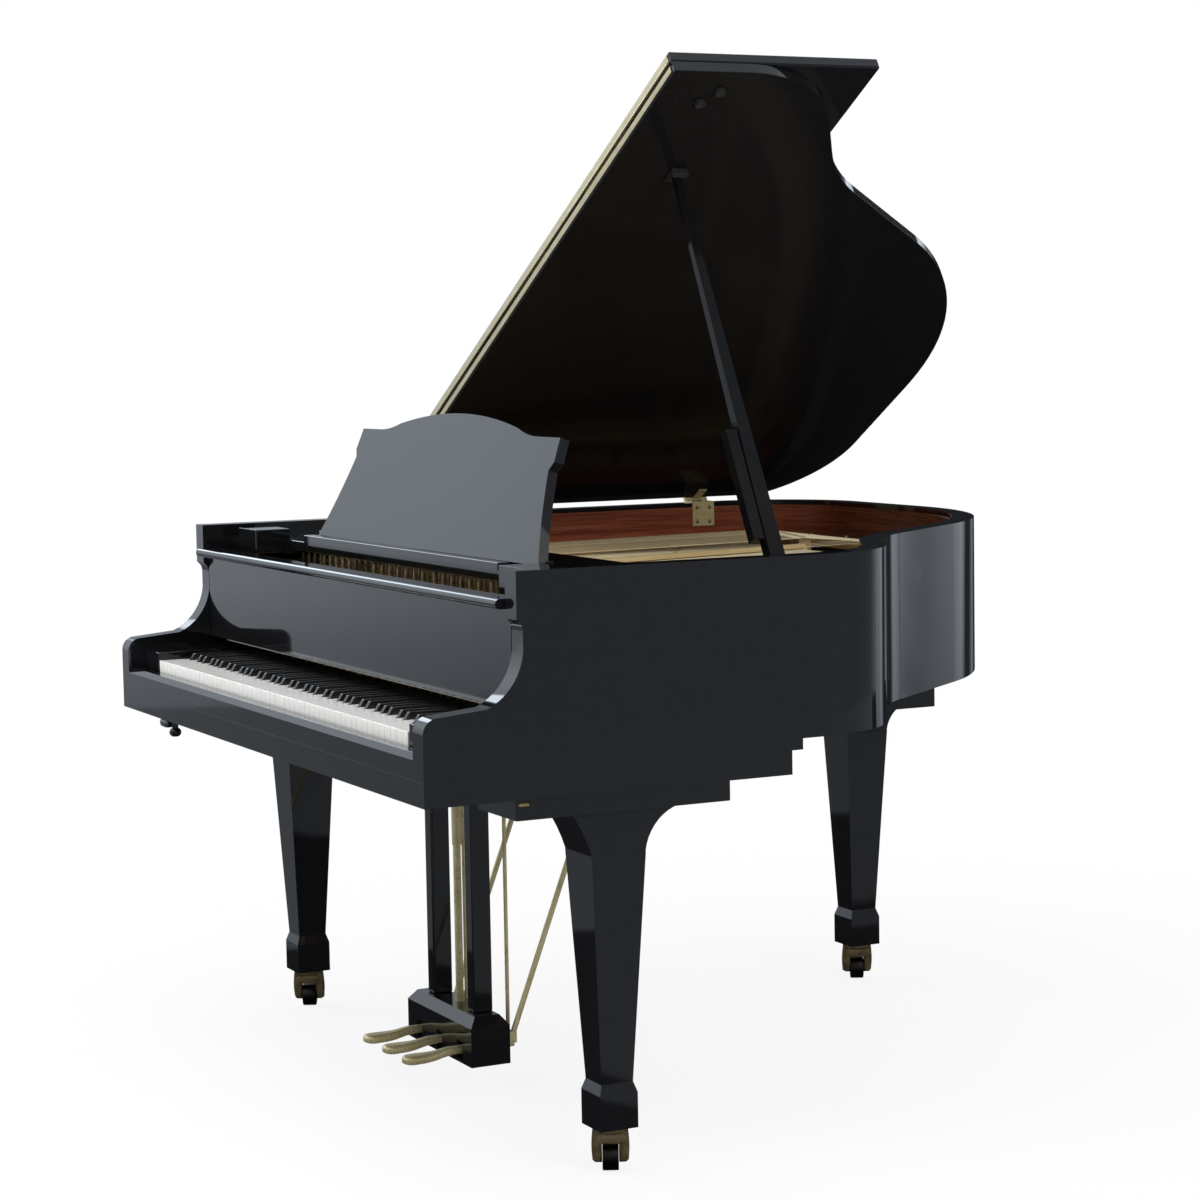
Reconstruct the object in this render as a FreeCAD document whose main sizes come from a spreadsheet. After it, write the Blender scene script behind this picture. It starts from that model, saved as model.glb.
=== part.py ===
"""A baby grand piano: case, strung back, action, keys, lyre, legs, lid and music desk."""
import FreeCAD
import Part
import math
import os
import re

from FreeCAD import Placement, Rotation, Vector

doc = FreeCAD.newDocument("grand_piano")

# The case. Depths are measured from the front of the keybed, heights from the floor.
case_width = 1490  # over the two sides
case_length = 1545  # keybed front to the outside of the tail
lid_overhang = 15  # lid outside the rim
half = case_width / 2
half_length = (case_length + lid_overhang) / 2  # keybed front to the middle of the whole piano
rim_thick = 40  # outer rim and arms
keybed_depth = 638  # keybed, front to back
keybed_bottom = 624  # underside of the keybed
keybed_thick = 39
arm_bottom = keybed_bottom + keybed_thick
rim_tall = 311  # rim above the keybed
rim_top = arm_bottom + rim_tall
rim_step = 18  # the rim's bottom edge steps up behind the keybed
rim_bottom = arm_bottom + rim_step
step_depth = keybed_depth + 20
shoulder_depth = 690  # end of the straight treble side
shoulder_radius = 230  # bend at the treble shoulder
shoulder_turn = 60  # turn of the treble shoulder, degrees
waist_run = 110  # straight between shoulder and waist
waist_radius = 420  # hollow bend of the waist
waist_turn = 24  # turn of the waist, degrees
tail_radius = 650  # bend from the flank to the tail
corner_radius = 230  # bend from the tail to the spine
arm_top = arm_bottom + 97  # top of the arms at their rounded front
arm_rise = 7  # rise of the arm top toward the scoop
arm_round = 25  # rounding at the front of the arms
scoop_start = 105  # where the arm top starts to curve up
neck_depth = 168  # deepest point of the scoop
cheek_depth = 158  # front edge of the cheeks above the scoop

# The strung back hangs from the rim's top.
plate_drop = 74  # top of the iron plate's web below the rim's top
plate_top = rim_top - plate_drop
plate_thick = 10  # web of the iron plate
plate_front = 205  # front edge of the iron plate
pin_field = 260  # plate in front of its opening, which carries the tuning pins
block_front = plate_front + 87  # front of the pinblock under the plate
gap_front = plate_front + pin_field
flange = 150  # rim's outside to the plate's opening
web_depth = 1175  # front of the plate's cross web
web_width = 40  # cross web, front to back
string_height = plate_top + 8
wire = 1.2  # string
bass_rise = 18  # rise of the bass strings at their bridge
pin_height = 20  # tuning pin above the plate
pin_width = 5  # square tuning pin
board_thick = 8  # soundboard
board_bottom = plate_top - 32
inner_rim_thick = 38
belly_depth = gap_front + 115  # front of the belly rail
belly_thick = 36  # belly rail, front to back
rib_end = 200  # soundboard in front of the tail without ribs
post_width = 60  # back posts
post_tall = 75  # back posts

# The keyboard and the action.
key_pitch = 23.5  # white key to white key
key_gap = 1  # gap between neighbouring keys
key_front = 32  # front of the white keys
head_length = 50  # white key's wide head
key_back = 400  # back end of the key sticks
key_top = arm_bottom + 61  # top of the white keys
key_thick = 34  # key stick
sharp_rise = 12  # black key above the white keys
sharp_end = 228  # back end of the black key's raised part
sharp_width = 10.5  # black key
nose_gap = 3.2  # white key's head to the black key's nose, so that its nose clears as it dips
balance_depth = 235  # balance rail, where the keys pivot
bead_radius = 4  # round bead that the keys rock on
slip_top = arm_bottom + 40  # top of the keyslip
hammer_depth = gap_front + 24  # line where the hammers strike
damper_depth = gap_front + 65  # line of the dampers

# The fallboard, music shelf and desk.
fall_face = 168  # front of the raised fallboard
fall_thick = 18  # fallboard
fall_bottom = key_top + 33  # lower edge of the fallboard
fall_top = rim_top - 45  # upper edge of the fallboard's lip
lip_reach = 26  # lip in front of the fallboard
lip_height = 16  # lip
fall_pivot_depth = fall_face + 15
fall_pivot_height = fall_bottom + 3
shelf_front = 268  # front of the music shelf
shelf_back = 515  # back of the music shelf
shelf_bottom = rim_top - 41
shelf_thick = 17  # music shelf
tray_front = 215  # front of the side trays
bar_half = 440  # half width of the shelf's front bar
bar_top = shelf_bottom + shelf_thick + 13
desk_depth = 317  # desk hinge line
desk_lean = 20  # desk's lean from upright, degrees
desk_half = 490  # half width of the desk at its foot
shelf_margin = 67  # music shelf beyond the desk's foot
shelf_half = desk_half + shelf_margin
tray_ledge = 50  # side tray left clear beside its block
tray_block = half - rim_thick - shelf_half - 1 - tray_ledge
desk_ear = 428  # half width of the desk at its top corners
desk_height = 216  # desk at its top corners
desk_crown = 252  # desk at the middle of its crown
desk_thick = 18  # desk
strut_length = 84  # desk strut, and its hinge above the desk's foot

# The lid, its hinges and its props.
lid_open = 30.8  # lid's angle as it rests on the prop, degrees
lid_thick = 19  # each lid leaf
lid_gap = 7  # closed lid above the rim
fold_depth = shelf_back + 34  # fold of the lid
flap_depth = 396  # front leaf, front to back
hinge_inset = 6  # lid hinge line inside the spine's face
hinge_front = 600  # front lid hinge
hinge_rear = 295  # rear lid hinge in front of the tail
prop_inset = 17  # prop pivot inside the rim
prop_foot_x = half - rim_thick - prop_inset
prop_foot_depth = shoulder_depth - 42
prop_foot_height = rim_top - 24
prop_top_depth = prop_foot_depth + 33
prop_width = 28  # long prop at its foot
prop_thick = 22  # long prop at its foot
prop_slim = 0.45  # long prop's head as a share of its foot

# The legs, casters and lyre.
leg_inset = 77  # front legs inside the case's sides
leg_x = half - leg_inset
leg_depth = 340  # front legs from the front
rear_leg_x = 313  # rear leg from the middle, on the bass side
rear_leg_depth = case_length - 136
leg_wide = 95  # leg at its top
leg_narrow = 56  # leg at its ankle
leg_top = keybed_bottom - 104  # top of the tapered legs
slab_bottom = keybed_bottom - 33  # leg block's slab under the keybed
rear_slab_bottom = keybed_bottom - 52  # rear leg block's slab
ankle = 151  # height of the ankle
foot_top = 134  # height of the foot block
foot_width = 67  # foot block
leg_bottom = 77  # underside of the foot block
wheel_radius = 22  # caster wheel
wheel_width = 26  # caster wheel
caster_turn = 63  # casters turned from straight ahead, degrees
cheek_thick = 15  # caster fork's cheeks
caster_trail = 15  # caster axle behind its stem
lyre_half = 142  # half width of the pedal box
lyre_front = 335  # front of the pedal box
lyre_depth = 75  # pedal box, front to back
lyre_bottom = 53  # underside of the pedal box
lyre_shoulder = 122  # pedal box below its moulding
lyre_post_x = 88  # lyre posts from the middle
lyre_post_width = 28  # lyre posts, side to side
lyre_post_depth = 37  # lyre posts, front to back
pedal_pitch = 90  # pedal to pedal
pedal_tip = 226  # tip of the pedals from the front
pedal_height = 74  # middle of the pedals
rod_depth = lyre_front + lyre_depth + 20  # pedal rods from the front

# The sheet holds every size above under its own name.
sizes = {name: value for name, value in globals().items() if isinstance(value, (int, float))}
sheet = doc.addObject("Spreadsheet::Sheet", "Sizes")
for row, (name, value) in enumerate(sizes.items(), 1):
    sheet.set(f"A{row}", name)
    sheet.set(f"B{row}", str(value))
    sheet.setAlias(f"B{row}", name)
doc.recompute()

front = -half_length
pivot_x = -half + hinge_inset
pivot_z = rim_top + lid_gap
lid_top = pivot_z + lid_thick


def bound(text):
    """A formula in the sheet's names, as the document writes it."""
    return re.sub("[a-z_]+", lambda m: "Sizes." + m[0] if m[0] in sizes else m[0], str(text))


def at(x, depth, height):
    """A point from the middle, from the keybed front and from the floor."""
    return Vector(x, depth + front, height)


def box(label, x, depth, height, length, width, tall):
    """A block from its low corner and its three sizes, all formulas in the sheet's names."""
    made = doc.addObject("Part::Box", label)
    made.setExpression("Length", bound(length))
    made.setExpression("Width", bound(width))
    made.setExpression("Height", bound(tall))
    made.setExpression("Placement.Base.x", bound(x))
    made.setExpression("Placement.Base.y", bound(f"{depth} - half_length"))
    made.setExpression("Placement.Base.z", bound(height))
    return made


def rod(label, x, depth, height, radius, tall):
    """An upright round bar from the middle of its low end."""
    made = doc.addObject("Part::Cylinder", label)
    made.setExpression("Radius", bound(radius))
    made.setExpression("Height", bound(tall))
    made.setExpression("Placement.Base.x", bound(x))
    made.setExpression("Placement.Base.y", bound(f"{depth} - half_length"))
    made.setExpression("Placement.Base.z", bound(height))
    return made


def joined(label, pieces):
    """Pieces that are glued or forged into one."""
    made = doc.addObject("Part::MultiFuse", label)
    made.Shapes = pieces
    made.Refine = True
    return made


def gathered(label, pieces):
    """Like pieces that make one sub-part without touching each other."""
    made = doc.addObject("Part::Compound", label)
    made.Links = pieces
    return made


def shaped(label, solids):
    """A sub-part of many small like solids."""
    made = doc.addObject("Part::Feature", label)
    made.Shape = Part.makeCompound(solids) if len(solids) > 1 else solids[0]
    return made


class Path:
    """A line drawn edge by edge in a sketch plane."""

    def __init__(self, x, y):
        self.here = Vector(x, y, 0)
        self.first = self.here
        self.edges = []

    def line(self, x, y):
        there = Vector(x, y, 0)
        self.edges.append(Part.LineSegment(self.here, there))
        self.here = there
        return self

    def arc(self, mid_x, mid_y, x, y):
        there = Vector(x, y, 0)
        self.edges.append(Part.Arc(self.here, Vector(mid_x, mid_y, 0), there))
        self.here = there
        return self

    def close(self):
        return self.line(self.first.x, self.first.y)


LEVEL = Rotation()
SIDEWAYS = Rotation(Vector(1, 1, 1), 120)
UPRIGHT = Rotation(Vector(1, 0, 0), 90)


def sketch(body, plane, start, edges):
    drawn = body.newObject("Sketcher::SketchObject", body.Name + "_sketch")
    drawn.addGeometry(edges, False)
    drawn.Placement = Placement(start, plane)
    return drawn


def pad(body, plane, start, edges, length):
    feature = body.newObject("PartDesign::Pad", body.Name + "_pad")
    feature.Profile = sketch(body, plane, start, edges)
    feature.setExpression("Length", bound(length))
    return feature


def pocket(body, plane, start, edges, length):
    feature = body.newObject("PartDesign::Pocket", body.Name + "_pocket")
    feature.Profile = sketch(body, plane, start, edges)
    feature.setExpression("Length", bound(length))
    return feature


def loft(body, low, low_edges, high, high_edges):
    feature = body.newObject("PartDesign::AdditiveLoft", body.Name + "_loft")
    feature.Profile = sketch(body, LEVEL, low, low_edges)
    feature.Sections = [sketch(body, LEVEL, high, high_edges)]
    return feature


def new_body(label):
    return doc.addObject("PartDesign::Body", label)


def rectangle(x, y, length, width):
    return Path(x, y).line(x + length, y).line(x + length, y + width).line(x, y + width).close().edges


def ring(x, y, radius):
    return [Part.Circle(Vector(x, y, 0), Vector(0, 0, 1), radius)]


def bar(begin, end, width, thick=None):
    """A square bar between two points."""
    run = end - begin
    thick = thick or width
    made = Part.makeBox(width, thick, run.Length, Vector(-width / 2, -thick / 2, 0))
    made.Placement = Placement(begin, Rotation(Vector(0, 0, 1), run))
    return made


def tapered(begin, end, width, thick, slim):
    """A bar that gets slimmer toward its end."""
    run = end - begin
    wires = []
    for height, share in ((0, 1), (run.Length, slim)):
        w = width * share / 2
        d = thick * share / 2
        corners = [Vector(-w, -d, height), Vector(w, -d, height), Vector(w, d, height), Vector(-w, d, height)]
        wires.append(Part.makePolygon(corners + corners[:1]))
    made = Part.makeLoft(wires, True, True)
    made.Placement = Placement(begin, Rotation(Vector(0, 0, 1), run))
    return made


def case_line(inset, start):
    """The case in plan, moved in by inset, from the treble side at start round to the bass side."""
    bend = math.radians(shoulder_turn)
    flank = bend - math.radians(waist_turn)

    def polar(centre, radius, angle):
        return (centre[0] + radius * math.cos(angle), centre[1] + radius * math.sin(angle))

    shoulder = (half - shoulder_radius, shoulder_depth + front)
    leave = polar(shoulder, shoulder_radius, bend)
    enter = (leave[0] - waist_run * math.sin(bend), leave[1] + waist_run * math.cos(bend))
    waist = polar(enter, waist_radius, bend)
    out = polar(waist, -waist_radius, flank)
    reach = case_length + front - out[1] - tail_radius * (1 - math.sin(flank))
    run = reach / math.cos(flank)
    tail = polar((out[0] - run * math.sin(flank), out[1] + reach), -tail_radius, flank)
    corner = (-half + corner_radius, case_length + front - corner_radius)

    path = Path(half - inset, start + front)
    if start < shoulder_depth:
        path.line(half - inset, shoulder[1])
    bends = ((shoulder, shoulder_radius - inset, 0, bend),
             (waist, -waist_radius - inset, bend, flank),
             (tail, tail_radius - inset, flank, math.pi / 2),
             (corner, corner_radius - inset, math.pi / 2, math.pi))
    for centre, radius, begin, end in bends:
        entry = polar(centre, radius, begin)
        if (Vector(*entry, 0) - path.here).Length > 0.01:
            path.line(*entry)
        path.arc(*polar(centre, radius, (begin + end) / 2), *polar(centre, radius, end))
    return path.line(-half + inset, start + front)


def region(inset, start):
    """Everything inside the case line from start back."""
    return case_line(inset, start).close().edges


def band(outer, inner, start):
    """A strip along the case line between two insets."""
    a = case_line(outer, start)
    b = case_line(inner, start)
    right = Part.LineSegment(a.first, b.first)
    left = Part.LineSegment(a.here, b.here)
    return a.edges + b.edges + [right, left]


def reach_to(inset, begin, heading):
    """How far a level line runs from a point inside the case to the case line."""
    far = begin + heading * 4000
    line = Part.makeLine(Vector(begin.x, begin.y, 0), Vector(far.x, far.y, 0))
    wall = Part.Wire(Part.__sortEdges__([e.toShape() for e in case_line(inset, 0).edges]))
    return min((Vector(begin.x, begin.y, 0) - hit).Length for hit, _ in line.distToShape(wall)[1])


# Outer rim: one bent band that ends in the two scooped arms.
rim = new_body("case_rim")
pad(rim, LEVEL, at(0, half_length, arm_bottom), band(0, rim_thick, 0), "rim_top - arm_bottom")
pocket(rim, SIDEWAYS, Vector(half + 1, 0, 0),
       rectangle(step_depth + front, arm_bottom - 5, case_length, rim_bottom - arm_bottom + 5),
       "case_width + 2")
round_low = arm_top - arm_round
bulge = arm_round * (1 - math.sqrt(0.5))
scoop_low = arm_top + arm_rise
scoop_high = scoop_low + 83
scoop = Path(front, round_low)
scoop.arc(front + bulge, arm_top - bulge, front + arm_round, arm_top)
scoop.line(front + scoop_start, scoop_low)
scoop.arc(front + neck_depth - 20, scoop_low + 33, front + neck_depth, scoop_high)
scoop.line(front + neck_depth, rim_top - 94)
scoop.arc(front + neck_depth - 3, rim_top - 81, front + cheek_depth, rim_top - 74)
scoop.line(front + cheek_depth, rim_top + 5).line(front - 5, rim_top + 5).line(front - 5, round_low)
pocket(rim, SIDEWAYS, Vector(half + 1, 0, 0), scoop.close().edges, "case_width + 2")
pin_hole = ring(fall_pivot_depth + front, fall_pivot_height, 5.06)
pocket(rim, SIDEWAYS, Vector(half - rim_thick + 11, 0, 0), pin_hole, "12")
pocket(rim, SIDEWAYS, Vector(-half + rim_thick + 1, 0, 0), pin_hole, "12")

# Inner rim: carries the soundboard and the plate behind the belly rail.
inner = new_body("inner_rim")
inner_start = rim_thick + 0.3
inner_face = inner_start + inner_rim_thick
belly_back = belly_depth + belly_thick
pad(inner, LEVEL, at(0, half_length, rim_bottom), band(inner_start, inner_face, belly_back + 0.2),
    "board_bottom - rim_bottom")

# Keybed: one thick board under the arms.
box("keybed", "-case_width / 2", "0", "keybed_bottom", "case_width", "keybed_depth",
    "arm_bottom - keybed_bottom")

# Belly rail on the keybed's back edge, and the posts that brace the rim.
beams = [box("belly_rail", "rim_thick - case_width / 2", "belly_depth", "arm_bottom",
             "case_width - 2 * rim_thick", "belly_thick", "board_bottom - arm_bottom")]
for number, post_x in enumerate((-rear_leg_x, 0, 250)):
    start = at(post_x, belly_back, 0)
    run = min(reach_to(inner_face, start + Vector(side, 0, 0), Vector(0, 1, 0))
              for side in (-post_width / 2, post_width / 2))
    beams.append(box(f"back_post_{number + 1}", f"{post_x} - post_width / 2", "belly_depth + belly_thick",
                     "rim_bottom", "post_width", f"{run - 0.3}", "post_tall"))
gathered("case_beams", beams)

# Keyslip in front of the keys, flush with the keybed, its top edge sloped.
slip = new_body("keyslip")
slip_back = front + key_front - 5
slip_slope = 9
edge = Path(front, arm_bottom + 0.2).line(slip_back, arm_bottom + 0.2).line(slip_back, slip_top)
edge.line(front + slip_slope, slip_top).line(front, slip_top - slip_slope)
pad(slip, SIDEWAYS, Vector(-half + rim_thick, 0, 0), edge.close().edges, "case_width - 2 * rim_thick")

# Key blocks between the keyboard's ends and the arms.
key_half = 26 * key_pitch
block_width = half - rim_thick - key_half - 5
blocks = [box(f"key_block_{side}", start, "key_front", "arm_bottom", f"{block_width}",
              "fall_face - key_front - 8", "key_top - arm_bottom + 14")
          for side, start in (("treble", f"{key_half + 5}"), ("bass", "rim_thick - case_width / 2"))]
gathered("key_blocks", blocks)

# Stretcher: the cross beam behind the fallboard, under the front of the plate.
box("stretcher", "rim_thick - case_width / 2", "plate_front - 3", "plate_top - plate_thick - 48.3",
    "case_width - 2 * rim_thick", "block_front - plate_front - 3", "48")

# Pinblock behind the stretcher, under the tuning pins.
plate_low = plate_top - plate_thick
box("pinblock", "rim_thick - case_width / 2", "block_front", "plate_top - plate_thick - 40",
    "case_width - 2 * rim_thick", "gap_front - block_front - 40", "40")

# Iron plate: a level web with two openings, a foot round its edge, ridges for the string ends and
# two raised struts.
plate = new_body("plate_web")
edge_inset = rim_thick + 1
pad(plate, LEVEL, at(0, half_length, plate_low), region(edge_inset, plate_front), "plate_thick")
pocket(plate, LEVEL, at(0, half_length, plate_top), region(flange, gap_front), "plate_thick")
board_top = board_bottom + board_thick
pad(plate, LEVEL, at(0, half_length, board_top), band(edge_inset, edge_inset + 25, belly_back + 4),
    "plate_top - plate_thick - board_bottom - board_thick")
ridge_top = string_height - wire
ridge = "string_height - plate_top - wire"
pad(plate, LEVEL, at(0, half_length, plate_top), band(flange - 45, flange - 31, belly_depth), ridge)
web_left = -half + flange - 5
web_span = 10 + reach_to(flange, at(web_left + 10, web_depth, 0), Vector(1, 0, 0)) + 5
web_ridge = web_depth + web_width / 2 + front
pad(plate, LEVEL, Vector(0, 0, plate_low),
    rectangle(web_left, web_depth + front, web_span, web_width), "plate_thick")
pad(plate, LEVEL, Vector(0, 0, plate_top), rectangle(web_left, web_ridge - 7, web_span, 14), ridge)

# Strings: the bass run over the tenor, each from its tuning pin over its bridge to the plate.
BASS = 26
NOTES = 88
BREAKS = (45, 65)


def course(note):
    """One note's line: its point at the plate's front bar, its heading and its sounding length."""
    if note < BASS:
        share = note / (BASS - 1)
        lean = math.radians(8)
        start = at(-590 + 270 * share, gap_front - 3, string_height)
        sounding = 846 - 66 * share
    else:
        share = (note - BASS) / (NOTES - 1 - BASS)
        lean = -math.radians(16 - 12 * share)
        passed = sum(note > last for last in BREAKS)
        start = at(-270 + 800 * share + 14 * passed, gap_front - 3, string_height)
        sounding = 140 + 520 * (1 - share) ** 1.6
    return start, Vector(math.sin(lean), math.cos(lean), 0), sounding


wires = []
pins = []
for note in range(NOTES):
    start, heading, sounding = course(note)
    row_depth = block_front + 38 + 28 * (note % 3) + front
    pin = start - heading * ((start.y - row_depth) / heading.y)
    pins.append(bar(Vector(pin.x, pin.y, plate_top), Vector(pin.x, pin.y, plate_top + pin_height), pin_width))
    run = reach_to(flange - 38, start, heading) - 2
    begin = pin + heading * 4.4
    if note < BASS:
        end = start + heading * run
        top = start + heading * sounding + Vector(0, 0, bass_rise)
        wires.append(bar(begin, start, wire).fuse(bar(start, top, wire)).fuse(bar(top, end, wire)))
    else:
        end = start + heading * min(run, (web_ridge - start.y) / heading.y)
        wires.append(bar(begin, end, wire))
shaped("strings", wires)
shaped("tuning_pins", pins)


def strip(points, width, low, high):
    """A bar of even height along a row of points."""
    near = []
    far = []
    for i, point in enumerate(points):
        ahead = points[min(i + 1, len(points) - 1)] - points[max(i - 1, 0)]
        side = Vector(-ahead.y, ahead.x, 0).normalize() * (width / 2)
        near.append(Vector(point.x, point.y, low) + side)
        far.append(Vector(point.x, point.y, low) - side)
    loop = near + far[::-1] + near[:1]
    return Part.Face(Part.makePolygon(loop)).extrude(Vector(0, 0, high - low))


# Bridges: a long curved one for tenor and treble, a short high one for the bass.
def bridge_points(notes):
    return [start + heading * sounding for start, heading, sounding in map(course, notes)]


long_notes = [BASS + round(i * (NOTES - 1 - BASS) / 12) for i in range(13)]
long_bridge = strip(bridge_points(long_notes), 30, board_top, ridge_top - 0.2)
bass_bridge = strip(bridge_points((0, BASS - 1)), 26, board_top, ridge_top + bass_rise - 1)
shaped("bridges", [long_bridge, bass_bridge])

# The plate's struts pass over the strings in the wider gaps between the sections.
struts = []
for note in BREAKS:
    start, heading, sounding = course(note)
    middle = start + (course(note + 1)[0] - start) * 0.5
    begin = middle - heading * 30
    to_web = (web_ridge + 12 - middle.y) / heading.y
    end = middle + heading * min(reach_to(flange - 60, middle, heading), to_web)
    struts.append(strip([begin, end], 10, string_height + 1.5, string_height + 10.5))
    for foot in (begin, end):
        struts.append(bar(Vector(foot.x, foot.y, plate_top), foot + Vector(0, 0, 6), 9))
joined("iron_plate", [plate, shaped("plate_struts", struts)])

# Soundboard with its ribs glued under it.
board = new_body("soundboard")
pad(board, LEVEL, at(0, half_length, board_bottom), region(edge_inset, belly_depth + 2), "board_thick")
rib_pitch = 120
first_rib = belly_back + 60
rib_count = 1 + int((case_length - rib_end - first_rib) / rib_pitch)
for number in range(rib_count):
    depth = first_rib + rib_pitch * number
    left = -half + inner_face + 20
    span = reach_to(inner_face + 20, at(left + 1, depth, 0), Vector(1, 0, 0)) + 1
    pad(board, LEVEL, at(0, half_length, board_bottom - 18),
        rectangle(left, depth + front, span, 22), "18")

# Keyframe: three cross rails and two end rails that slide on the keybed. The keys rock on a round
# bead along the balance rail.
key_low = key_top - key_thick
frame_half = key_half - 2
cross_rails = (("front", "key_front + 10", "30", "12"),
               ("balance", "balance_depth - 20", "40", "20"),
               ("back", "key_back - 30", "62", "key_top - key_thick - arm_bottom - 1"))
rails = [box(f"frame_{name}", f"{-frame_half}", depth, "arm_bottom + 0.3", f"{2 * frame_half}", width, tall)
         for name, depth, width, tall in cross_rails]
rails += [box(f"frame_end_{name}", start, "key_front + 10", "arm_bottom + 0.3", "24",
              "key_back - key_front - 20", "12")
          for name, start in (("bass", f"{-frame_half}"), ("treble", f"{frame_half - 24}"))]
bead = doc.addObject("Part::Cylinder", "balance_bead")
bead.setExpression("Radius", bound("bead_radius"))
bead.Height = 2 * frame_half
bead_middle = key_low - 0.3 - bead_radius
bead.Placement = Placement(at(-frame_half, balance_depth, bead_middle), Rotation(Vector(0, 1, 0), 90))
joined("keyframe", rails + [bead])

# Keys: each tail has its own place among the sharps, five in C to E and seven in F to B.
# One sub-part holds all keys of a note name.
NAMES = ("c", "c_sharp", "d", "d_sharp", "e", "f", "f_sharp", "g", "g_sharp", "a", "a_sharp", "b")
octave = 7 * key_pitch
first_c = -key_half + 2 * key_pitch


def key_place(note):
    """The key's note name, its tail's middle and width, and its head's middle."""
    step = (note + 9) % 12
    left = first_c + ((note + 9) // 12 - 1) * octave
    if step < 5:
        tail = 3 * key_pitch / 5
        middle = left + tail * (step + 0.5)
        white = step // 2
    else:
        tail = 4 * key_pitch / 7
        middle = left + 3 * key_pitch + tail * (step - 4.5)
        white = (step + 1) // 2
    return NAMES[step], middle, tail - key_gap, left + key_pitch * (white + 0.5)


def white_key(middle, width, head):
    """A white key: a wide head and a straight stick behind it."""
    head_left = head - (key_pitch - key_gap) / 2
    tail_left = max(middle - width / 2, head_left)
    tail_right = min(middle + width / 2, head_left + key_pitch - key_gap)
    length = key_back - key_front
    wide = Part.makeBox(key_pitch - key_gap, head_length, key_thick, at(head_left, key_front, key_low))
    stick = Part.makeBox(tail_right - tail_left, length, key_thick, at(tail_left, key_front, key_low))
    return wide.fuse(stick).removeSplitter()


def black_key(middle):
    """A black key: a stick with a raised top that slopes at its front."""
    nose = front + key_front + head_length + nose_gap
    top = key_top + sharp_rise
    side = [(nose, key_low), (front + key_back, key_low), (front + key_back, key_top - 2),
            (front + sharp_end, key_top - 2), (front + sharp_end, top), (nose + 7, top),
            (nose, key_top + 1), (nose, key_low)]
    face = Part.Face(Part.makePolygon([Vector(middle - sharp_width / 2, y, z) for y, z in side]))
    return face.extrude(Vector(sharp_width, 0, 0))


by_name = {name: [] for name in NAMES}
for note in range(NOTES):
    name, middle, width, head = key_place(note)
    by_name[name].append(black_key(middle) if "sharp" in name else white_key(middle, width, head))
for name in NAMES:
    shaped("keys_" + name, by_name[name])

# Action rack: posts behind the keys and the rail that the hammers hang on.
rack = [box("hammer_rail", f"{-key_half - 9}", "key_back - 14", "plate_top - 95",
            f"{2 * key_half + 18}", "40", "30")]
for number in range(4):
    post_x = -key_half + 20 + number * (2 * key_half - 60) / 3
    rack.append(box(f"rack_post_{number + 1}", f"{post_x}", "key_back + 4", "key_top - key_thick - 0.7",
                    "20", "22", "plate_top - 95 - key_top + key_thick + 0.7"))
action_rack = joined("action_rack", rack)

# Hammers: shank and felt head in one profile, one for each note.
rail_top = plate_top - 64.7
strike = hammer_depth + front
hammer_side = [(front + key_back - 10, rail_top), (strike + 13, rail_top), (strike + 9, plate_top - 13),
               (strike, plate_top - 7), (strike - 9, plate_top - 13), (strike - 13, rail_top + 6),
               (front + key_back - 10, rail_top + 6), (front + key_back - 10, rail_top)]
hammers = []
for note in range(NOTES):
    start, heading, sounding = course(note)
    x = (start + heading * (hammer_depth - gap_front + 3)).x
    face = Part.Face(Part.makePolygon([Vector(x - 4, y, z) for y, z in hammer_side]))
    hammers.append(face.extrude(Vector(8, 0, 0)))
gathered("action", [action_rack, shaped("hammers", hammers)])

# Dampers: a block on each string up to the high treble, with its wire down to the lifting tray.
tray_top = plate_top - 140
damper_y = damper_depth + front
felts = []
damper_x = []
for note in range(68):
    start, heading, sounding = course(note)
    along = (damper_depth - gap_front + 3) / heading.y
    x = start.x + heading.x * along
    rise = bass_rise * (along + 12) / sounding if note < BASS else 0
    low = string_height + 1.1 + rise
    damper_x.append(x)
    felts.append(Part.makeBox(9, 24, 15, Vector(x - 4.5, damper_y - 12, low)))
    felts.append(Part.makeBox(1.5, 1.5, low - tray_top, Vector(x + 2.6, damper_y - 0.8, tray_top)))
tray_start = Vector(damper_x[0] - 15, damper_y - 10, tray_top - 15)
tray = Part.makeBox(damper_x[-1] - damper_x[0] + 30, 20, 15, tray_start)
shaped("dampers", felts + [tray])

# Fallboard: a flat panel with a rounded lip, on two pins in the arms.
fall = new_body("fallboard")
fall_half = half - rim_thick - 2.5
face_y = front + fall_face
back_y = face_y + fall_thick
lip_y = face_y - lip_reach
lip_low = fall_top - lip_height
panel = Path(face_y, fall_bottom).line(back_y, fall_bottom).line(back_y, fall_top)
panel.line(lip_y + lip_height / 2, fall_top)
panel.arc(lip_y, fall_top - lip_height / 2, lip_y + lip_height / 2, lip_low).line(face_y, lip_low)
pad(fall, SIDEWAYS, Vector(-fall_half, 0, 0), panel.close().edges, f"{2 * fall_half}")
fall_pin = ring(front + fall_pivot_depth, fall_pivot_height, 5)
pad(fall, SIDEWAYS, Vector(fall_half - 1, 0, 0), fall_pin, "10")
pad(fall, SIDEWAYS, Vector(-fall_half - 9, 0, 0), fall_pin, "10")

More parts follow.
